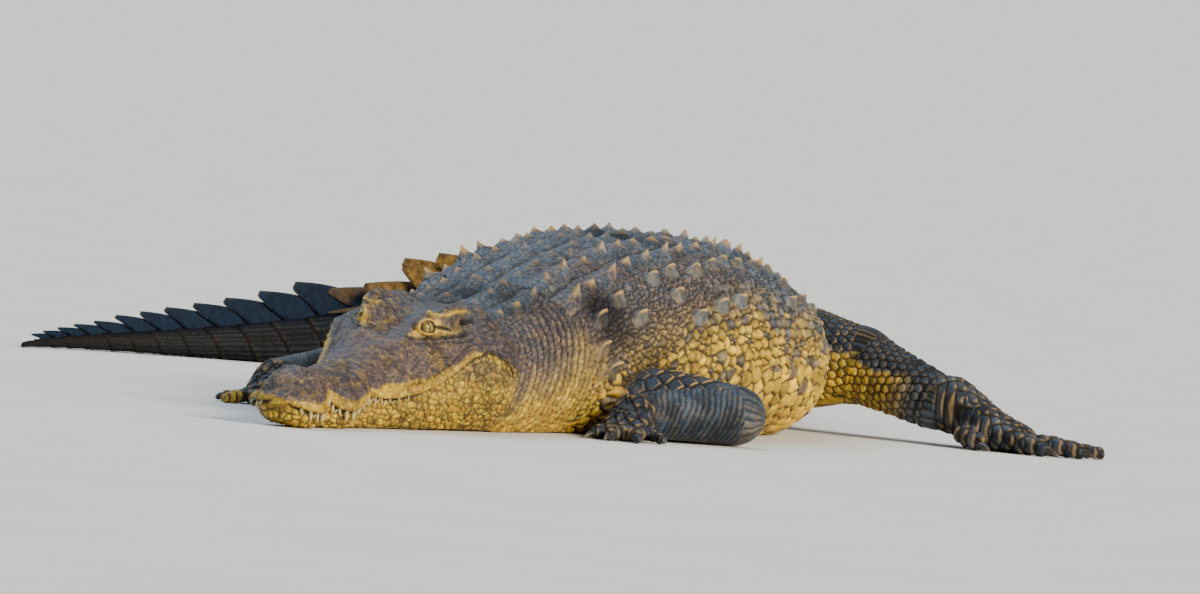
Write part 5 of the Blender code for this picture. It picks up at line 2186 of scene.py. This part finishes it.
@dataclass(frozen=True)
class Teeth:
    """Teeth that show along the closed mouth, on both sides."""

    upper: tuple[float, ...] = (  # t of the upper teeth
        0.013, 0.026, 0.041, 0.057, 0.07, 0.104, 0.119, 0.136, 0.153,
        0.172, 0.189, 0.207, 0.226, 0.243, 0.266, 0.287, 0.308,
    )
    # the one in the notch is the largest
    lower: tuple[float, ...] = (0.033, 0.088, 0.112, 0.163, 0.181, 0.199, 0.217, 0.235, 0.254, 0.276)
    length: float = 0.0068  # below the lip

    def row(self, side: Side, above: bool) -> Iterator[Cone]:
        """Goes through the teeth of one side of one jaw.

        Args:
            side: Side of the head.
            above: Whether it is the upper jaw.

        Yields:
            Each tooth.
        """
        for k, t in enumerate(self.upper if above else self.lower):
            keys = np.array(k + 40 * above), np.array(side.value)
            luck, second = (float(scatter(seed, *keys)) for seed in (91, 92))
            fade = float(1 - 0.75 * ease(t, 0.235, 0.29))
            lip, width = float(blend(t, MOUTH_LINE)), float(blend(t, HEAD_WIDTH))
            if above:
                big = math.exp(-(((t - 0.142) / 0.018) ** 2)) + 0.5 * math.exp(-(((t - 0.046) / 0.014) ** 2))
                reach = (self.length * (0.7 + 0.75 * luck) + 0.008 * big) * fade
                base = SPINE.place(SNOUT_S + t, side.value * (width - 0.0048), lip + 0.004)
                end = SNOUT_S + t + 0.004 * (second - 0.5)
                tip = SPINE.place(end, side.value * (width - 0.001), lip - reach)
                yield Cone(base, tip, (0.003 + 0.001 * luck + 0.0016 * big) * (0.5 + 0.5 * fade))
            else:
                big = float(t == NOTCH)
                reach = 0.0015 + 0.0035 * luck * fade + 0.0125 * big
                base = SPINE.place(SNOUT_S + t, side.value * (width - 0.0056 + 0.003 * big), lip - 0.004)
                end = SNOUT_S + t - 0.002 * second
                tip = SPINE.place(end, side.value * (width - 0.0006 + 0.002 * big), lip + reach)
                yield Cone(base, tip, 0.0026 + 0.0026 * big)

    def dress(self) -> None:
        """Builds all teeth as one piece and dresses it."""
        built = [cone.build() for side in Side for above in (True, False) for cone in self.row(side, above)]
        mesh = merged("teeth", [(verts, faces) for verts, faces, _ in built])
        note(mesh, "gum", np.concatenate([0.8 * (1 - ease(share, 0.0, 0.45)) for *_, share in built]))
        place_piece("teeth", mesh, ToothFinish().build(), Slot.HORN)


@dataclass(frozen=True)
class Claws:
    """A curved claw on each of the inner three toes, in place of its solid."""

    rise: float = 0.1  # arch of a claw, as a share of its length
    clear: float = 0.0015  # height of its point above the floor

    def dress(self) -> None:
        """Builds every claw and dresses it."""
        finish = ClawFinish().build()
        for limb in LIMBS:
            wrist = limb.places[2] * [1, 1, 0]
            for k, (turn, reach, radius) in enumerate(list(limb.toes())[:CLAWED_TOES]):
                ahead = level(turn)
                root = wrist + ahead * (reach - 0.5 * radius) + [0, 0, radius * 0.62]
                tip = wrist + ahead * (reach + limb.claw - 0.3 * radius) + [0, 0, self.clear]
                cone = Cone(root, tip, radius * 0.56, 0.8, self.rise * limb.claw, 16, 12)
                verts, faces, share = cone.build()
                verts[:, 2] = np.maximum(verts[:, 2], 0.0002)
                solid = f"{limb.foot}_claw_{k + 1}"
                mesh = merged(f"{solid}_horn", [(verts, faces)])
                note(mesh, "tip", ease(share, 0.55, 1.0))
                place_piece(mesh.name, mesh, finish, Slot.HORN, (solid,))


@dataclass(frozen=True)
class Eyeballs:
    """Eyeballs with a clear bulge over the iris. Numbers are shares of the eye's radius."""

    iris: float = 0.74
    slit: float = 0.085  # half the pupil's width
    slit_height: float = 0.62  # half its height
    bulge: float = 0.045

    def dress(self) -> None:
        """Builds both eyeballs and dresses them."""
        finish = EyeFinish().build()
        around = 2 * np.pi * np.arange(64)[:, None] / 64
        for eye in EYES:
            back, up, gaze = eye.axes()
            rings = []
            for angle in np.linspace(0.01, math.pi - 0.01, 64):
                radius = EYE_RADIUS * (1 + self.bulge * math.exp(-((angle / 0.42) ** 2)))
                spin = math.sin(angle) * (np.cos(around) * back + np.sin(around) * up)
                rings.append(eye.centre + radius * (spin + math.cos(angle) * gaze))
            verts, faces = loft(rings)
            solid = f"eye_{eye.side.name.lower()}"
            mesh = merged(f"{solid}_ball", [(verts, faces)])
            x, y, z = ((verts - eye.centre) @ axis / EYE_RADIUS for axis in (back, up, gaze))
            half = self.slit * np.sqrt(np.maximum(0.0, 1 - (y / self.slit_height) ** 2))
            note(mesh, "away", np.where(z > 0, np.hypot(x, y) / self.iris, 2.0))
            note(mesh, "across", np.where(z > 0, np.abs(x) / np.maximum(half, 0.004), 9.0))
            place_piece(mesh.name, mesh, finish, Slot.EYE, (solid,))


# ---- Studio ----
@dataclass(frozen=True)
class Lamp:
    """A far wide light."""

    name: str
    bearing: float  # degrees to the right of the camera
    elevation: float  # degrees above the floor
    strength: float  # watts per square metre
    colour: tuple[float, float, float]  # linear
    angle: float  # width of its disc in degrees


@dataclass(frozen=True)
class Studio:
    """Camera, lights, floor and backdrop."""

    azimuth: float = 24.5  # degrees towards the crocodile's left
    elevation: float = 1.5  # degrees
    roll: float = 5.0  # degrees about the camera's own axis
    distance: float = 15.0
    aim: tuple[float, float] = (0.138, 0.221)  # to the right of the middle, and above it
    lens: float = 276.75  # millimetres
    lamps: tuple[Lamp, ...] = (
        Lamp("key", 50.0, 26.0, 5.6, (1.0, 0.92, 0.74), 24.0),
        Lamp("fill", -130.0, 56.0, 2.6, (0.66, 0.82, 1.0), 60.0),
    )
    # light from everywhere: strength and colour
    air: tuple[float, tuple[float, float, float]] = (0.26, (0.9, 0.95, 1.0))
    reach: float = 60.0  # half the floor's width

    def axes(self) -> tuple[Vector, Vector, Vector]:
        """The camera's directions before it is rolled.

        Returns:
            Unit vectors to the right, upwards and backwards.
        """
        a, e = math.radians(self.azimuth), math.radians(self.elevation)
        back = Vector((math.sin(a) * math.cos(e), -math.cos(a) * math.cos(e), math.sin(e)))
        right = Vector((math.cos(a), math.sin(a), 0.0))
        return right, back.cross(right), back

    def place_camera(self) -> None:
        """Adds the camera, low and far away, in front of the crocodile's left side."""
        right, up, back = self.axes()
        r = math.radians(self.roll)
        rolled, upright = right * math.cos(r) + up * math.sin(r), up * math.cos(r) - right * math.sin(r)
        lens = bpy.data.cameras.new("camera")
        lens.sensor_width, lens.lens, lens.clip_end = 36.0, self.lens, 200.0
        camera = add_object("camera", lens)
        camera.matrix_world = Matrix((rolled, upright, back)).transposed().to_4x4()
        camera.location = right * self.aim[0] + up * self.aim[1] + back * self.distance
        bpy.context.scene.camera = camera

    def place_lamps(self) -> None:
        """Adds the lights."""
        for lamp in self.lamps:
            light = bpy.data.lights.new(lamp.name, "SUN")
            light.energy, light.color, light.angle = lamp.strength, lamp.colour, math.radians(lamp.angle)
            a, e = math.radians(self.azimuth + lamp.bearing), math.radians(lamp.elevation)
            towards = Vector((math.sin(a) * math.cos(e), -math.cos(a) * math.cos(e), math.sin(e)))
            made = add_object(lamp.name, light)
            made.rotation_mode = "QUATERNION"
            made.rotation_quaternion = (-towards).to_track_quat("-Z", "Y")
            made.location = towards * 10

    def backdrop(self) -> tuple[float, ...]:
        """Matches the backdrop to the lit floor, so that no line shows where they meet.

        Returns:
            Its colour.
        """
        floor = np.mean([linear(code)[:3] for code in FloorFinish().paint], axis=0)
        light = self.air[0] * np.array(self.air[1])
        for lamp in self.lamps:
            strength = lamp.strength * math.sin(math.radians(lamp.elevation)) / math.pi
            light = light + strength * np.array(lamp.colour)
        return (*(floor * light).tolist(), 1.0)

    def place_floor(self) -> None:
        """Adds the floor and the backdrop beyond it."""
        reach = self.reach
        mesh = bpy.data.meshes.new("floor")
        corners = [(-reach, -reach, 0), (reach, -reach, 0), (reach, reach, 0), (-reach, reach, 0)]
        mesh.from_pydata(corners, [], [(0, 1, 2, 3)])
        mesh.materials.append(FloorFinish().build())
        floor = add_object("floor", mesh)
        floor.location.z = -0.0005
        world = bpy.data.worlds.new("studio")
        world.use_nodes = True
        world.node_tree.nodes.clear()
        add = partial(add_node, world.node_tree)
        air = add("Background", {"Color": (*self.air[1], 1.0), "Strength": self.air[0]})
        wall = add("Background", {"Color": self.backdrop()})
        add("OutputWorld", {"Surface": add("MixShader", {0: add("LightPath"), 1: air, 2: wall})})
        bpy.context.scene.world = world

    def build(self) -> None:
        """Sets up the whole studio."""
        self.place_camera()
        self.place_lamps()
        self.place_floor()


def main() -> None:
    """Builds the dressed crocodile and its studio."""
    logging.basicConfig(level=logging.INFO, format="%(name)s: %(message)s")
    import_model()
    Skin().dress(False)
    Crest().dress()
    Teeth().dress()
    Eyeballs().dress()
    Claws().dress()
    Studio().build()


if __name__ == "__main__":
    main()
